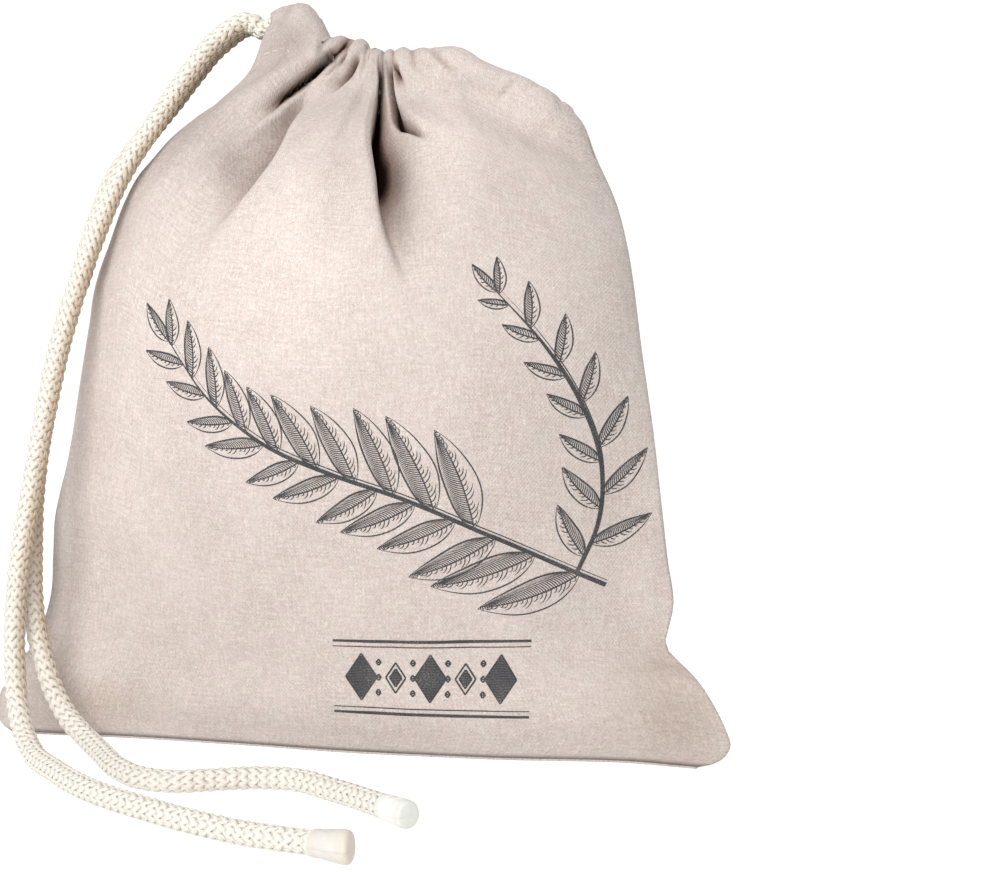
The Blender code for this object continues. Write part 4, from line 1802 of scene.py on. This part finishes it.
    def build(self, finish: Material) -> Piece:
        """Makes the panel as one closed thin sheet.

        Args:
            finish: Its material.

        Returns:
            The panel.
        """
        outer, cloth = self.outer_face()
        self.outer = outer
        inner = self.inner_face(outer)
        rows, columns = outer.shape[:2]
        count = rows * columns
        index = np.arange(count).reshape(rows, columns)
        skin = grid_quads(rows, columns)
        rims = []
        for rim in (index[0], index[:, -1], index[-1][::-1], index[:, 0][::-1]):
            rims.append(np.stack([rim[1:], rim[:-1], rim[:-1] + count, rim[1:] + count], -1))
        faces = np.concatenate([skin, skin[:, ::-1] + count, *rims])
        if self.side is Side.BACK:
            faces = faces[:, ::-1]
        points = np.concatenate([outer.reshape(-1, 3), inner.reshape(-1, 3)])
        marks = {"cloth": cloth, "tone": self.tone(outer)}
        marks = {name: np.concatenate([mark.reshape(-1, 3)] * 2) for name, mark in marks.items()}
        face = self.side.name.lower()
        panel = make_object(face + "_linen", points, faces, finish, marks)
        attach(panel, "root")
        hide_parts(face + "_panel")
        return panel


def fold(*spots: tuple[float, ...], lean: float = 0.0, dark: float = 0.0) -> Fold:
    """A fold through points of x, height, depth and width, or left and right width where they differ."""
    return Fold(tuple(Spot(*(*spot, spot[-1])[:5]) for spot in spots), lean, dark)


FRONT_FOLDS = (
    # The soft roll from the gathers over the left shoulder, and the hollow above it
    fold(
        (-9, 255.5, -0.6, 1.6), (-14, 253.2, -1.6, 2.4, 2), (-20, 250.2, -2.2, 3.2, 2.4),
        (-28, 245.2, -2.6, 4, 3), (-36, 238, -2.5, 4.6, 3.6), (-44, 231, -1.8, 5, 4.4),
        (-54, 223.5, 0, 6, 5),
    ),
    fold(
        (-14, 260, 0.6, 3, 2.4), (-22, 257.5, 1.5, 4, 2.8), (-30, 252, 1.9, 4.5, 3), (-38, 243, 1.4, 5, 4),
        (-46, 235, 0, 5), dark=0.16,
    ),
    # The two deep folds down to the left, with a thin roll between them
    fold(
        (-8.4, 252.4, 1, 1.4, 1.1), (-11.6, 250, 7.5, 1.4, 1.1), (-16.6, 245.8, 11, 1.5, 1.2),
        (-22.2, 240.2, 11.5, 1.6, 1.2), (-27.6, 235, 7.5, 2.2, 1.4), (-34, 229, 3, 3.6, 2.2),
        (-42, 221.6, 0, 6, 4), lean=-3, dark=1,
    ),
    fold(
        (-18.5, 238.4, -0.8, 1.3), (-22.4, 235, -2.2, 1.5, 1.4), (-28.3, 230, -2.8, 1.8),
        (-35.4, 223.2, -2.5, 2.4, 2.2), (-45.3, 213.9, -1.4, 3.4, 3), (-54, 206, 0, 5),
    ),
    fold(
        (-20.6, 234.6, 3, 1.2, 1.1), (-23, 231.2, 8, 2, 1.3), (-25.4, 226, 13, 3.4, 1.7),
        (-27.6, 219.5, 15.5, 5.2, 2.2), (-31.4, 211, 13.6, 7, 2.8), (-37.5, 203.2, 10, 8.5, 3.6),
        (-45, 196.4, 6, 9.5, 4.8), (-54, 188, 2.4, 10, 7), (-62, 180, 0, 10, 9), lean=1.5, dark=0.32,
    ),
    fold(
        (-18.4, 231.5, -0.6, 1.2, 4), (-20.6, 225, -1.8, 1.3, 5), (-22.8, 216.5, -2.5, 1.5, 6),
        (-26.8, 207, -2.5, 1.9, 7), (-33.2, 198.8, -1.8, 2.6, 8), (-41, 191, 0, 4, 8),
    ),
    fold(
        (-5.4, 258.6, 0.9, 1.2), (-6.8, 255.2, 1.4, 1.5, 1.3), (-9.6, 251.8, 1.6, 1.5, 1.2),
        (-13, 249.4, 0.9, 1.2, 1.1), (-16, 247.4, 0.2, 1), dark=1,
    ),
    # The small bulge beside them, with two fine creases, and the pocket under it
    fold(
        (-1.6, 252.4, -0.8, 1.6), (-8, 247.4, -1.8, 2.2), (-14.4, 242, -2.2, 2.6, 2.8),
        (-19.6, 237.6, -0.8, 2.4, 2.6),
    ),
    fold((-5.2, 251.6, 1.2, 0.6), (-6.6, 249.4, 2, 0.6), (-8.6, 247, 0.8, 0.6, 0.8), dark=0.75),
    fold((-8.8, 247.8, 0.9, 0.6), (-11.2, 245, 1.4, 0.7), (-13.4, 243.2, 0.4, 0.8), dark=0.5),
    fold(
        (-1, 249.6, 2.4, 0.8), (-2.4, 246.6, 5.6, 0.9, 0.7), (-4.2, 243.8, 6.6, 0.9, 0.7),
        (-6.6, 241.6, 4.4, 1.1, 0.8), (-10, 239.6, 1.6, 1.8, 1.2), (-14, 238, 0, 2.4, 2), lean=1.2,
        dark=0.95,
    ),
    # The broad smooth roll in the middle
    fold(
        (2.2, 253, -0.9, 1.8), (0.8, 245, -1.7, 3, 2.8), (-1.6, 236, -2.6, 5, 3.8), (-5, 224, -3.4, 7, 5.5),
        (-9, 208, -3.2, 9, 8), (-13, 190, -1.8, 11, 10), (-17, 168, 0, 12),
    ),
    # The deepest fold, with a sharp lip on its left
    fold(
        (7, 250.2, 1.8, 0.6), (7.5, 246.4, 6, 0.7), (8, 242, 9.5, 0.8), (7.9, 236.6, 13, 0.9, 1.2),
        (8.8, 229, 18.6, 1, 2.5), (10.2, 221, 19.6, 1.1, 4.4), (12.4, 214.5, 16, 1.3, 5.2),
        (14.8, 207.5, 12.4, 1.5, 5.8), (17.4, 196.5, 8.6, 1.9, 6.2), (20.4, 187, 6, 2.2, 6.4),
        (24.4, 178, 3.8, 2.6, 7.6), (30, 166, 0, 4, 9), lean=-6, dark=0.98,
    ),
    fold(
        (4.6, 240, -0.5, 3, 0.9), (5, 230, -1.5, 4, 1), (6, 221, -2.1, 5, 1.1), (8.2, 213, -2, 6, 1.3),
        (11.2, 204, -1.6, 6.5, 1.7), (15.2, 193, -1.1, 7, 2.2), (19.4, 183, -0.7, 7, 2.6),
        (24, 173, 0, 7, 3),
    ),
    # The hollow beside it, and its neighbour, which hooks to the right
    fold(
        (14, 230, 1, 3, 4), (18, 220, 3.4, 5), (22, 208, 3.4, 6), (26, 194, 2, 7), (29, 180, 0, 8),
        dark=0.22,
    ),
    fold(
        (9.8, 250.4, 2, 0.6), (10.2, 246.8, 5.5, 0.9, 0.8), (10.8, 242.6, 7, 0.9, 0.8),
        (11.6, 238, 7, 0.9, 0.7), (13, 233.8, 8.5, 1, 0.7), (15.2, 230, 10.5, 1.4, 0.8),
        (18.4, 226.8, 9.5, 1.4, 0.8), (23, 223.6, 6, 1.1, 0.8), (29.5, 219, 0, 1.4, 1.2), lean=2.2, dark=1,
    ),
    fold(
        (12.2, 248.4, 1.6, 0.6), (13, 246, 5.2, 0.9, 0.8), (13.8, 243.6, 4.6, 0.9, 0.8),
        (15.2, 240.4, 1.6, 1.2), (17.4, 236.5, 0, 1.8, 2), lean=0.8, dark=0.95,
    ),
    fold((7.8, 257.2, 0.8, 0.6), (8.6, 255.6, 1.6, 0.7), (9.6, 253.6, 0.4, 0.6), dark=0.9),
    fold(
        (15.4, 234.5, -0.6, 1, 2.6), (19, 229.8, -1.9, 1.1, 4), (24, 226.6, -2.1, 1.3, 5),
        (31, 223.6, -0.9, 2, 6), (39, 220, 0, 3, 7),
    ),
    # Fine creases and soft folds under the slacker casing on the right
    fold(
        (26.6, 252.6, 0.6, 0.6, 0.9), (30, 248.8, 1.3, 0.6, 1), (32.6, 246.2, 1.1, 0.6, 1),
        (36, 243, 0, 1, 2), dark=0.45,
    ),
    fold((22.4, 250.6, 0.5, 0.9), (25.6, 247.6, 1.2, 1, 1.2), (29, 244.6, 0, 1.2, 1.4)),
    fold((38, 242, 0.5, 2, 2.5), (42, 238, 1.6, 2.6, 3.2), (49, 235.6, 1.3, 3.2, 3.6), (58, 233, 0, 4)),
    fold((36, 234, -0.6, 6), (39, 220, -1.9, 9), (42, 196, -1.5, 11), (44, 168, 0, 12)),
    fold((56.6, 241.6, 0.5, 0.6, 0.9), (53.8, 238.2, 0.9, 0.6, 0.9), (50.4, 234.6, 0, 0.8, 1.2), dark=0.35),
    fold((64.6, 241.4, 0.5, 0.8), (62, 238.4, 1, 0.9, 1), (58.6, 234.6, 0, 1.2)),
    fold((73, 228, 0.4, 2), (69.5, 222, 1.1, 3), (66, 214, 0.5, 4), (64, 204, 0, 5)),
    fold((78, 220, 0.5, 3), (81, 208, 0.9, 4), (84, 196, 0, 5)),
    # Slack in the left shoulder, and a soft dent under the deep folds
    fold((-46, 224, 0.8, 3), (-56, 214, 1.8, 4.5), (-68, 203, 1.5, 5.5), (-80, 190, 0, 6)),
    fold((-64, 224, 0.4, 3), (-76, 209, 1, 4), (-86, 193, 0, 5)),
    fold((-28, 178, 0.6, 9), (-33, 168, 1.9, 11), (-36, 156, 0, 11)),
    # The right ear and the left one
    fold((119.5, 37.8, -0.8, 1), (115, 37.2, -1.5, 1.3, 1.2), (109, 37.5, 0, 2)),
    fold((121.5, 34, 0.9, 1, 1.3), (116, 33.4, 1.5, 1.3, 2), (108, 31.8, 0.9, 2.4, 3.4), (96, 31, 0, 4, 5)),
    fold((126, 29, -0.3, 1.4), (119, 27.6, -1.1, 1.8), (110, 25.4, 0, 2.6)),
    fold((131, 24, 0.4, 2, 3), (120, 23, 1.4, 3, 3.4), (106, 21, 1.2, 4), (88, 22, 0, 5)),
    fold((128, 30, -0.4, 2), (118, 31, -1.2, 2.2), (108, 29, 0, 3)),
    fold((136, 14, 0.2, 1.6), (124, 14.5, 0.9, 2, 2.4), (110, 13, 0.5, 3), (96, 13, 0, 3)),
    fold((-123, 36, 0.5, 2), (-113, 34, 1.7, 3, 2.6), (-102, 31, 1, 4, 3.5), (-90, 31, 0, 4)),
    fold((-130, 20, 0.3, 2), (-118, 20, 1.3, 3), (-102, 18, 0.8, 4), (-86, 19, 0, 4)),
)
BACK_FOLDS = (
    fold(
        (-17, 242, 2.5, 2.2), (-24, 236, 6.5, 3.6), (-34, 222, 8.6, 5.6), (-46, 202, 5.6, 8.6),
        (-58, 180, 0, 11),
    ),
    fold((-12, 238, -0.6, 2), (-20, 226, -1.8, 4), (-32, 205, -1.8, 6), (-44, 180, 0, 9)),
    fold(
        (-6, 240, 2.5, 1.9), (-9, 232, 7, 3), (-13, 214, 8.8, 4.8, 5.4), (-18, 194, 5.2, 7, 7.6),
        (-23, 172, 0, 9),
    ),
    fold((0.5, 238, -0.6, 2.4), (-0.5, 222, -2.2, 4.6), (-2, 200, -2, 7), (-4, 172, 0, 9)),
    fold(
        (7, 240, 2.5, 1.9), (8, 230, 7.4, 3, 2.6), (9.5, 214, 9.2, 5.2, 4.4), (11, 192, 5.6, 7.6, 7),
        (13, 164, 0, 10, 9),
    ),
    fold((15, 238, -0.6, 2.4), (19, 222, -1.9, 4.4), (24, 198, -1.8, 7), (28, 170, 0, 9)),
    fold(
        (22, 240, 2, 2.2), (28, 228, 6.4, 3.6, 3.4), (35, 212, 7.6, 5.4, 5.2), (42, 192, 4.4, 8),
        (49, 170, 0, 10),
    ),
    fold((42, 236, 1.6, 3), (52, 224, 4.4, 4.6), (62, 206, 4.2, 7), (72, 182, 0, 10)),
    fold((-36, 246, 1.2, 3), (-50, 232, 3, 4), (-64, 212, 2.6, 6), (-76, 190, 0, 8)),
    fold((64, 226, 0.8, 3), (74, 212, 1.8, 4), (84, 192, 0, 6)),
    fold((-118, 40, 0.6, 3), (-100, 36, 2, 4, 5), (-76, 30, 1.2, 6), (-50, 28, 0, 7)),
    fold((116, 40, 0.6, 3), (98, 36, 2, 5, 4), (74, 30, 1.2, 6), (48, 28, 0, 7)),
)
FRONT_PLEATS = make_table(
    Pleat,
    (17, 0, 8.5, 0.9), (-29, 0.1, 2.6, 0.25), (-20, 0.1, 1.8, 0.35), (-14.6, -0.1, 1, 0.6),
    (-10.6, -0.34, 1.6, -0.9), (-4.6, -0.3, 1.1, 1.7), (-2.2, -0.18, 2.3, -1.3), (1.8, -0.08, 0.9, 1.5),
    (4.6, -0.04, 1, -0.5), (7.6, 0, 0.8, 1.1), (9.8, 0, 0.8, -0.5), (11.6, 0.04, 0.6, 0.9),
    (15.2, 0.08, 2, -1.3), (18.8, 0.16, 0.8, 0.8), (22.6, 0.25, 1.8, -0.4), (26.4, 0.45, 0.8, 0.5),
    (34, 0.3, 2.4, -0.3), (46, 0.2, 2.6, 0.25), (64.6, -0.35, 0.9, 0.45),
)
BACK_PLEATS = make_table(
    Pleat,
    (-28, 0.1, 2.2, 0.4), (-18, 0.1, 1.6, 0.8), (-12, 0.05, 1.3, 1), (-7, 0, 1.1, 1.4), (-2.6, 0, 1.1, 1.1),
    (1.6, 0, 1.1, 1.4), (6.4, 0, 1.1, 1.5), (10.6, 0, 1.1, 1.1), (15.2, 0.05, 1.2, 1.2), (21, 0.1, 1.4, 1),
    (30, 0.15, 1.8, 0.7), (42, 0.15, 2.4, 0.5), (56, -0.1, 2.4, 0.4),
)
# Patches of painted shade, and of painted light where the shade is below 0: a dark contact line along the
# bottom edge, darker bottom, casing end, shoulder and right side, dark spots at the tops of the deep folds,
# brown shade below the deepest one, and lighter patches on the belly and the sides. The ears also get a
# warmer tint.
FRONT_TONES = make_table(
    Tone,
    (-28, 259, 17, 13, 0.15), (-58, 226, 24, 16, 0.16), (-11.6, 250, 2.4, 1.8, 0.75),
    (8, 244, 0.9, 7, 0.45), (-15.5, 254, 1.6, 3, 0.3), (-20, 172, 36, 34, -0.15), (-16, 196, 9, 16, -0.05),
    (-88, 150, 24, 36, -0.17), (-94, 92, 24, 32, -0.17), (38, 222, 20, 14, -0.1), (111, 105, 12, 48, -0.13),
    (78, 105, 40, 38, 0.05), (85, 50, 45, 20, 0.06), (-25, 44, 60, 18, 0.03), (0, 4, 150, 12, 0.14),
    (0, 0, 400, 1.2, 0.75), (40, 240.5, 8, 3.4, 0.12), (19, 203, 5.5, 10, 0.34), (22.5, 189, 5, 9, 0.16),
    (-43, 209, 8, 9, 0.2), (120, 16, 22, 18, 0.18, 0.6), (112, 34, 10, 8, 0.05, 0.3),
    (-95, 12, 22, 9, 0.06, 0.6),
)
# Painted shade along the bottom, on the ears with a warmer tint, and a little below the casing.
BACK_TONES = make_table(
    Tone,
    (0, 4, 150, 12, 0.12), (120, 16, 22, 18, 0.12, 0.6), (-120, 16, 22, 18, 0.12, 0.6),
    (0, 215, 60, 18, 0.05),
)


@dataclass
class StitchRow:
    """The row of machine stitches that holds one casing closed."""

    panel: LinenPanel
    length: float = 2.3
    spacing: float = 3.1
    half_width: float = 0.28
    rise: float = 0.13
    rings: int = 6
    sides: int = 6
    end_gap: float = 4.0
    taper: float = 1.9
    hollow: float = 0.12
    shade: float = 0.06

    def build(self, finish: Material) -> Piece:
        """Lays the stitches along the foot of the casing.

        Args:
            finish: Their material.

        Returns:
            The stitches.
        """
        outer = self.panel.outer
        row = len(self.panel.levels) + self.panel.floor_steps - 1
        line = outer[row]
        normals = grid_normals(outer)[row] * -self.panel.side.value
        places = along_line(line)
        along = np.linspace(-0.5, 0.5, self.rings)
        slim = np.sqrt(np.maximum(1 - (self.taper * along) ** 2, 0.02))
        turns = circle(self.sides)
        size = self.rings * self.sides
        points = []
        faces = []
        marks = []
        for number, start in enumerate(np.arange(self.end_gap, places[-1] - self.end_gap, self.spacing)):
            at = start + self.length / 2 + along * self.length
            middle = np.stack([np.interp(at, places, column) for column in line.T], -1)
            out = unit(np.stack([np.interp(at, places, column) for column in normals.T], -1))
            side = unit(np.cross(unit(np.gradient(middle, axis=0)), out))
            sideways = side[:, None] * (self.half_width * np.cos(turns))[None, :, None]
            outward = out[:, None] * (self.rise * np.sin(turns))[None, :, None]
            ring = middle[:, None] + (sideways + outward) * slim[:, None, None]
            faces.append(grid_quads(self.rings, self.sides, closed=True) + number * size)
            points.append(ring.reshape(-1, 3))
            marks.append(np.full((size, 3), (3.7 * number, 900.0, self.hollow)))
        name = self.panel.side.name.lower() + "_stitches"
        cloth = np.concatenate(marks)
        values = {"cloth": cloth, "tone": np.broadcast_to((self.shade, 0.0, 0.0), cloth.shape)}
        stitches = make_object(name, np.concatenate(points), np.concatenate(faces), finish, values)
        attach(stitches, "root")
        return stitches


def spaced_levels(*stretches: tuple[float, int]) -> Array:
    """Levels from 0 up, by stretches that are given as their top and how many rows they have.

    Args:
        stretches: The top of each stretch and its count of rows.

    Returns:
        The levels.
    """
    levels = np.zeros(1)
    for top, rows in stretches:
        levels = np.concatenate([levels, np.linspace(levels[-1], top, rows + 1)[1:]])
    return levels


@dataclass
class BreadBag:
    """The two panels, sewn together."""

    bag: BagShape
    linen: Material
    ink: Material

    def panels(self) -> tuple[LinenPanel, LinenPanel]:
        """The front and back panels, not yet built."""
        front = LinenPanel(
            side=Side.FRONT,
            bag=self.bag,
            folds=FRONT_FOLDS,
            pleats=FRONT_PLEATS,
            tones=FRONT_TONES,
            columns=236,
            levels=spaced_levels((0.05, 8), (0.17, 19), (0.60, 32), (0.78, 30), (1.0, 72)),
        )
        back = LinenPanel(
            side=Side.BACK,
            bag=self.bag,
            folds=BACK_FOLDS,
            pleats=BACK_PLEATS,
            tones=BACK_TONES,
            columns=160,
            levels=spaced_levels((0.05, 8), (0.6, 38), (1.0, 63)),
            floor_steps=16,
            wave_seed=23,
        )
        return front, back

    def build(self) -> list[Piece]:
        made = []
        for panel in self.panels():
            piece = panel.build(self.linen)
            made.append(piece)
            made.append(StitchRow(panel).build(self.linen))
            if panel.side is Side.FRONT:
                made.append(FrontPrint(panel.outer, self.ink).build())
        return made


# ---- Print


@dataclass(frozen=True)
class InkFinish(Finish):
    """Dark water-based ink, a little worn where the threads stand highest."""

    name: str = "charcoal_ink"
    rough_range: Pair = (0.77, 0.95)
    relief: float = 0.0002
    relief_strength: float = 0.6
    gloss: float = 0.2
    ink: Colour = (0.045, 0.047, 0.052)
    worn: Colour = (0.24, 0.21, 0.19)
    threads: Grain = Grain(1 / 0.5, 1 / 0.5, 0.0, 2.0, 0.7)
    patches: Grain = Grain(1 / 9.0, 1 / 9.0, 0.4)
    patch_share: float = 0.35
    worn_range: Pair = (0.68, 0.92)
    most_worn: float = 0.75

    def build(self) -> Material:
        """Makes the material."""
        nodes = Nodes(self.name)
        place = nodes.attribute("cloth")
        threads = nodes.grain(place, self.threads)
        patches = nodes.grain(place, self.patches)
        thin = nodes.maths("MULTIPLY_ADD", patches, self.patch_share, threads)
        colour = nodes.mix(nodes.spread(thin, *self.worn_range, (0.0, self.most_worn)), self.ink, self.worn)
        return self.surface(nodes, colour, threads, threads)


@dataclass(frozen=True)
class Stroke:
    """One line of the drawing: its points, and how wide it is at its middle and ends."""

    points: Array
    width: float
    start: float = 0.2
    end: float = 0.1


def bend_line(start: Array, end: Array, rise: float, steps: int) -> Array:
    """A shallow arc between two points.

    Args:
        start: Where it starts.
        end: Where it ends.
        rise: How far its middle lies to the left of the straight line.
        steps: How many lengths it is made of.

    Returns:
        The arc's points.
    """
    t = np.linspace(0.0, 1.0, steps + 1)[:, None]
    ahead = end - start
    left = np.array((-ahead[1], ahead[0])) / np.linalg.norm(ahead)
    return start + t * ahead + 4 * rise * t * (1 - t) * left


@dataclass
class Sprig:
    """A leafy branch in the manner of an engraving."""

    stem: tuple[Pair, ...]
    leaves: int
    longest: float
    shortest: float
    first_upper: int = 0
    seed: int = 11
    hatch: float = 0.86
    line: float = 0.50
    slimness: float = 0.31
    rib_bend: float = 0.05
    tooth: float = 0.035
    lit_width: float = 0.95
    shaded_width: float = 1.25
    hatch_width: float = 0.72
    hatch_bend: float = 0.06
    full_reach: float = 0.92
    lit_reach: float = 0.48
    reach_change: float = 0.22
    spread_low: float = 0.86
    spread_high: float = 0.30
    pair_shift: float = 0.022
    left_share: float = 0.86

    def along_stem(self, share: float) -> tuple[Array, Array]:
        """A point of the stem, and the stem's direction there.

        Args:
            share: How far along the stem.

        Returns:
            The point and the direction.
        """
        line = smooth_route(self.stem, 1.0)
        k = int(np.clip(share * (len(line) - 1), 1, len(line) - 2))
        return line[k], unit(line[k + 1] - line[k - 1])

    def leaf(self, base: Array, turn: float, length: float, width: float, lit: int) -> list[Stroke]:
        """One leaf.

        Args:
            base: Where it grows.
            turn: Its direction, as an angle in radians.
            length: Its length.
            width: Its width.
            lit: The side that has the fewer hatch lines, 1 for left and -1 for right.

        Returns:
            The strokes of its outline, midrib and hatching.
        """
        ahead = np.array((math.cos(turn), math.sin(turn)))
        left = np.array((-ahead[1], ahead[0]))
        rib = bend_line(base, base + ahead * length, lit * self.rib_bend * length, 18)
        t = np.linspace(0.0, 1.0, 19)
        bulge = width / 2 * np.sin(math.pi * t**0.82) ** 0.85
        strokes = [Stroke(rib, self.line * 1.05, 0.9, 0.15)]
        for way in (1, -1):
            side = rib + left * (way * (bulge * (1 + self.tooth * np.sin(9.0 * t + way))))[:, None]
            outline = self.line * (self.lit_width if way == lit else self.shaded_width)
            strokes.append(Stroke(side, outline, 0.4, 0.3))
            count = int(length / self.hatch)
            for k in range(1, count):
                if way == lit and k % 2:
                    continue
                reach = self.full_reach
                if way == lit:
                    reach = self.lit_reach + self.reach_change * math.sin(2.3 * k)
                share = k / count
                far_share = min(share + 0.30 * width / length + 0.05, 0.985)
                near = np.array([np.interp(share, t, column) for column in rib.T])
                far = np.array([np.interp(far_share, t, column) for column in side.T])
                hatching = bend_line(near, near + (far - near) * reach, self.hatch_bend * width * way, 4)
                strokes.append(Stroke(hatching, self.line * self.hatch_width, 0.8, 0.1))
        return strokes

    def strokes(self) -> list[Stroke]:
        """All the strokes of the branch."""
        line = smooth_route(self.stem, 1.2)
        drawn = [Stroke(line, 1.5, 1.0, 0.25), Stroke(line + np.array((0.5, 1.5)), 0.4, 0.6, 0.2)]
        chance = np.random.default_rng(self.seed)
        for k in range(self.leaves):
            share = 0.06 + 0.88 * (k / (self.leaves - 1)) ** 0.95
            size = self.longest + (self.shortest - self.longest) * share
            for way in (1, -1):
                swing, stretch = chance.uniform(-0.10, 0.10, 2)
                if way < 0 and k < self.first_upper:
                    continue
                base, ahead = self.along_stem(min(share + self.pair_shift * (1 - way), 0.99))
                lean = way * (self.spread_low - self.spread_high * share + swing)
                length = size * (1.0 + stretch) * (self.left_share if way > 0 else 1.0)
                turn = math.atan2(ahead[1], ahead[0]) + lean
                drawn += self.leaf(base, turn, length, self.slimness * length, way)
        tip, ahead = self.along_stem(0.995)
        drawn += self.leaf(tip, math.atan2(ahead[1], ahead[0]), self.shortest, 0.3 * self.shortest, 1)
        return drawn


SPRIGS = (
    Sprig(
        ((94, 60), (78, 68), (54, 80), (26, 93), (0, 102), (-24, 112), (-46, 128), (-62, 148)),
        leaves=12,
        longest=44.0,
        shortest=17.0,
        first_upper=2,
    ),
    Sprig(
        ((84, 65), (91, 82), (92, 104), (84, 128), (70, 150), (56, 166)),
        leaves=7,
        longest=25.0,
        shortest=13.0,
        seed=23,
    ),
)


@dataclass
class OrnamentBand:
    """A plain band of diamonds and dots between pairs of rules."""

    left: float = -1.0
    right: float = 69.0
    low: float = 16.0
    high: float = 42.0
    diamonds: int = 5
    margin: float = 4.0
    thick_rule: float = 1.1
    thin_rule: float = 0.4
    rule_gap: float = 2.0
    fill_gap: float = 0.55
    big: Pair = (5.6, 8.4)
    small: Pair = (3.6, 5.4)
    core: Pair = (2.2, 3.2)
    dot: Pair = (0.9, 1.1)
    dot_gap: float = 5.4

    def diamond(self, middle: Array, half: float, tall: float, filled: bool) -> list[Stroke]:
        """One diamond, filled with close lines or left open.

        Args:
            middle: Its middle.
            half: Half its width.
            tall: Half its height.
            filled: Whether it is filled.

        Returns:
            Its strokes.
        """
        corners = [(-half, 0.0), (0.0, tall), (half, 0.0), (0.0, -tall), (-half, 0.0)]
        points = [middle + np.array(corner) for corner in corners]
        drawn = []
        for a, b in zip(points[:-1], points[1:]):
            drawn.append(Stroke(bend_line(a, b, 0.0, 4), 0.6, 1.0, 1.0))
        if filled:
            count = int(2 * tall / self.fill_gap)
            for k in range(1, count):
                up = -tall + 2 * tall * k / count
                wide = half * (1 - abs(up) / tall) - 0.2
                if wide > 0.3:
                    ends = (middle + np.array((-wide, up)), middle + np.array((wide, up)))
                    drawn.append(Stroke(bend_line(*ends, 0.0, 4), 0.5, 1.0, 1.0))
        return drawn

    def strokes(self) -> list[Stroke]:
        """All the strokes of the band."""
        drawn = []
        rules = (
            (self.low, self.thick_rule),
            (self.low + self.rule_gap, self.thin_rule),
            (self.high - self.rule_gap, self.thin_rule),
            (self.high, self.thick_rule),
        )
        for level, width in rules:
            rule = np.array([(x, level) for x in np.linspace(self.left, self.right, 40)])
            drawn.append(Stroke(rule, width, 0.8, 0.8))
        middle = (self.low + self.high) / 2
        pitch = (self.right - self.left - 2 * self.margin) / self.diamonds
        for k in range(self.diamonds):
            place = np.array((self.left + self.margin + pitch * (k + 0.5), middle))
            if k % 2 == 0:
                drawn += self.diamond(place, *self.big, filled=True)
            else:
                drawn += self.diamond(place, *self.small, filled=False)
                drawn += self.diamond(place, *self.core, filled=True)
            if k:
                between = place - np.array((pitch / 2, 0.0))
                for up in (-self.dot_gap, 0.0, self.dot_gap):
                    drawn += self.diamond(between + np.array((0.0, up)), *self.dot, filled=True)
        return drawn


@dataclass
class FrontPrint:
    """The drawing printed on the front panel: a leafy branch over a plain band."""

    outer: Array
    ink: Material
    lift: float = 0.10
    step: float = 1.3

    def ribbon(self, stroke: Stroke) -> Array:
        """The two edges of a stroke, as points of x and height, one row an edge.

        Args:
            stroke: The stroke.

        Returns:
            Its left and right edge.
        """
        line = stroke.points
        ahead = unit(np.gradient(line, axis=0))
        left = np.stack([-ahead[:, 1], ahead[:, 0]], -1)
        t = np.linspace(0.0, 1.0, len(line))
        ends = stroke.start + (1 - stroke.start) * ease(t, 0.0, 0.25)
        ends = ends * (stroke.end + (1 - stroke.end) * (1 - ease(t, 0.6, 1.0)))
        half = stroke.width / 2 * ends[:, None]
        return np.stack([line - left * half, line + left * half])

    def build(self) -> Piece:
        """Lays every stroke on the panel and makes them one object."""
        rows, columns = self.outer.shape[:2]
        quads = grid_quads(rows, columns)
        tree = BVHTree.FromPolygons(self.outer.reshape(-1, 3).tolist(), quads.tolist())
        points: list[Array] = []
        faces: list[Array] = []
        count = 0
        drawn = [stroke for sprig in SPRIGS for stroke in sprig.strokes()] + OrnamentBand().strokes()
        for stroke in drawn:
            edges = self.ribbon(stroke)
            laid = np.empty((*edges.shape[:2], 3))
            for index in np.ndindex(edges.shape[:2]):
                x, height = edges[index]
                place, normal, _, _ = tree.ray_cast(Vector((x, -300.0, height)), Vector((0.0, 1.0, 0.0)))
                if normal.y > 0:
                    normal = -normal
                laid[index] = place + normal * self.lift
            points.append(laid.reshape(-1, 3))
            faces.append(grid_quads(2, edges.shape[1]) + count)
            count += len(points[-1])
        flat = np.concatenate(points)
        marks = np.stack([flat[:, 0], flat[:, 2], np.zeros(len(flat))], -1)
        drawing = make_object("front_print", flat, np.concatenate(faces), self.ink, {"cloth": marks})
        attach(drawing, "root")
        return drawing


def main() -> None:
    """Builds the studio, the cords and the bag."""
    logging.basicConfig(level=logging.INFO, format="%(name)s: %(message)s")
    studio = Studio()
    studio.add_camera()
    studio.light()
    studio.add_floor(FloorFinish().build())
    bag = BagShape()
    pale_dip = DipFinish(
        name="pale_waxed_cord_end",
        light=(0.86, 0.86, 0.82),
        dark=(0.80, 0.79, 0.74),
        end=(0.62, 0.64, 0.58),
    )
    cords = Drawcord(bag, CottonFinish().build(), DipFinish().build(), pale_dip.build()).build()
    panels = BreadBag(bag, LinenFinish().build(), InkFinish().build()).build()
    for piece in cords + panels:
        log.info("%s: %d faces", piece.name, len(piece.data.polygons))


if __name__ == "__main__":
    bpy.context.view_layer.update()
    main()
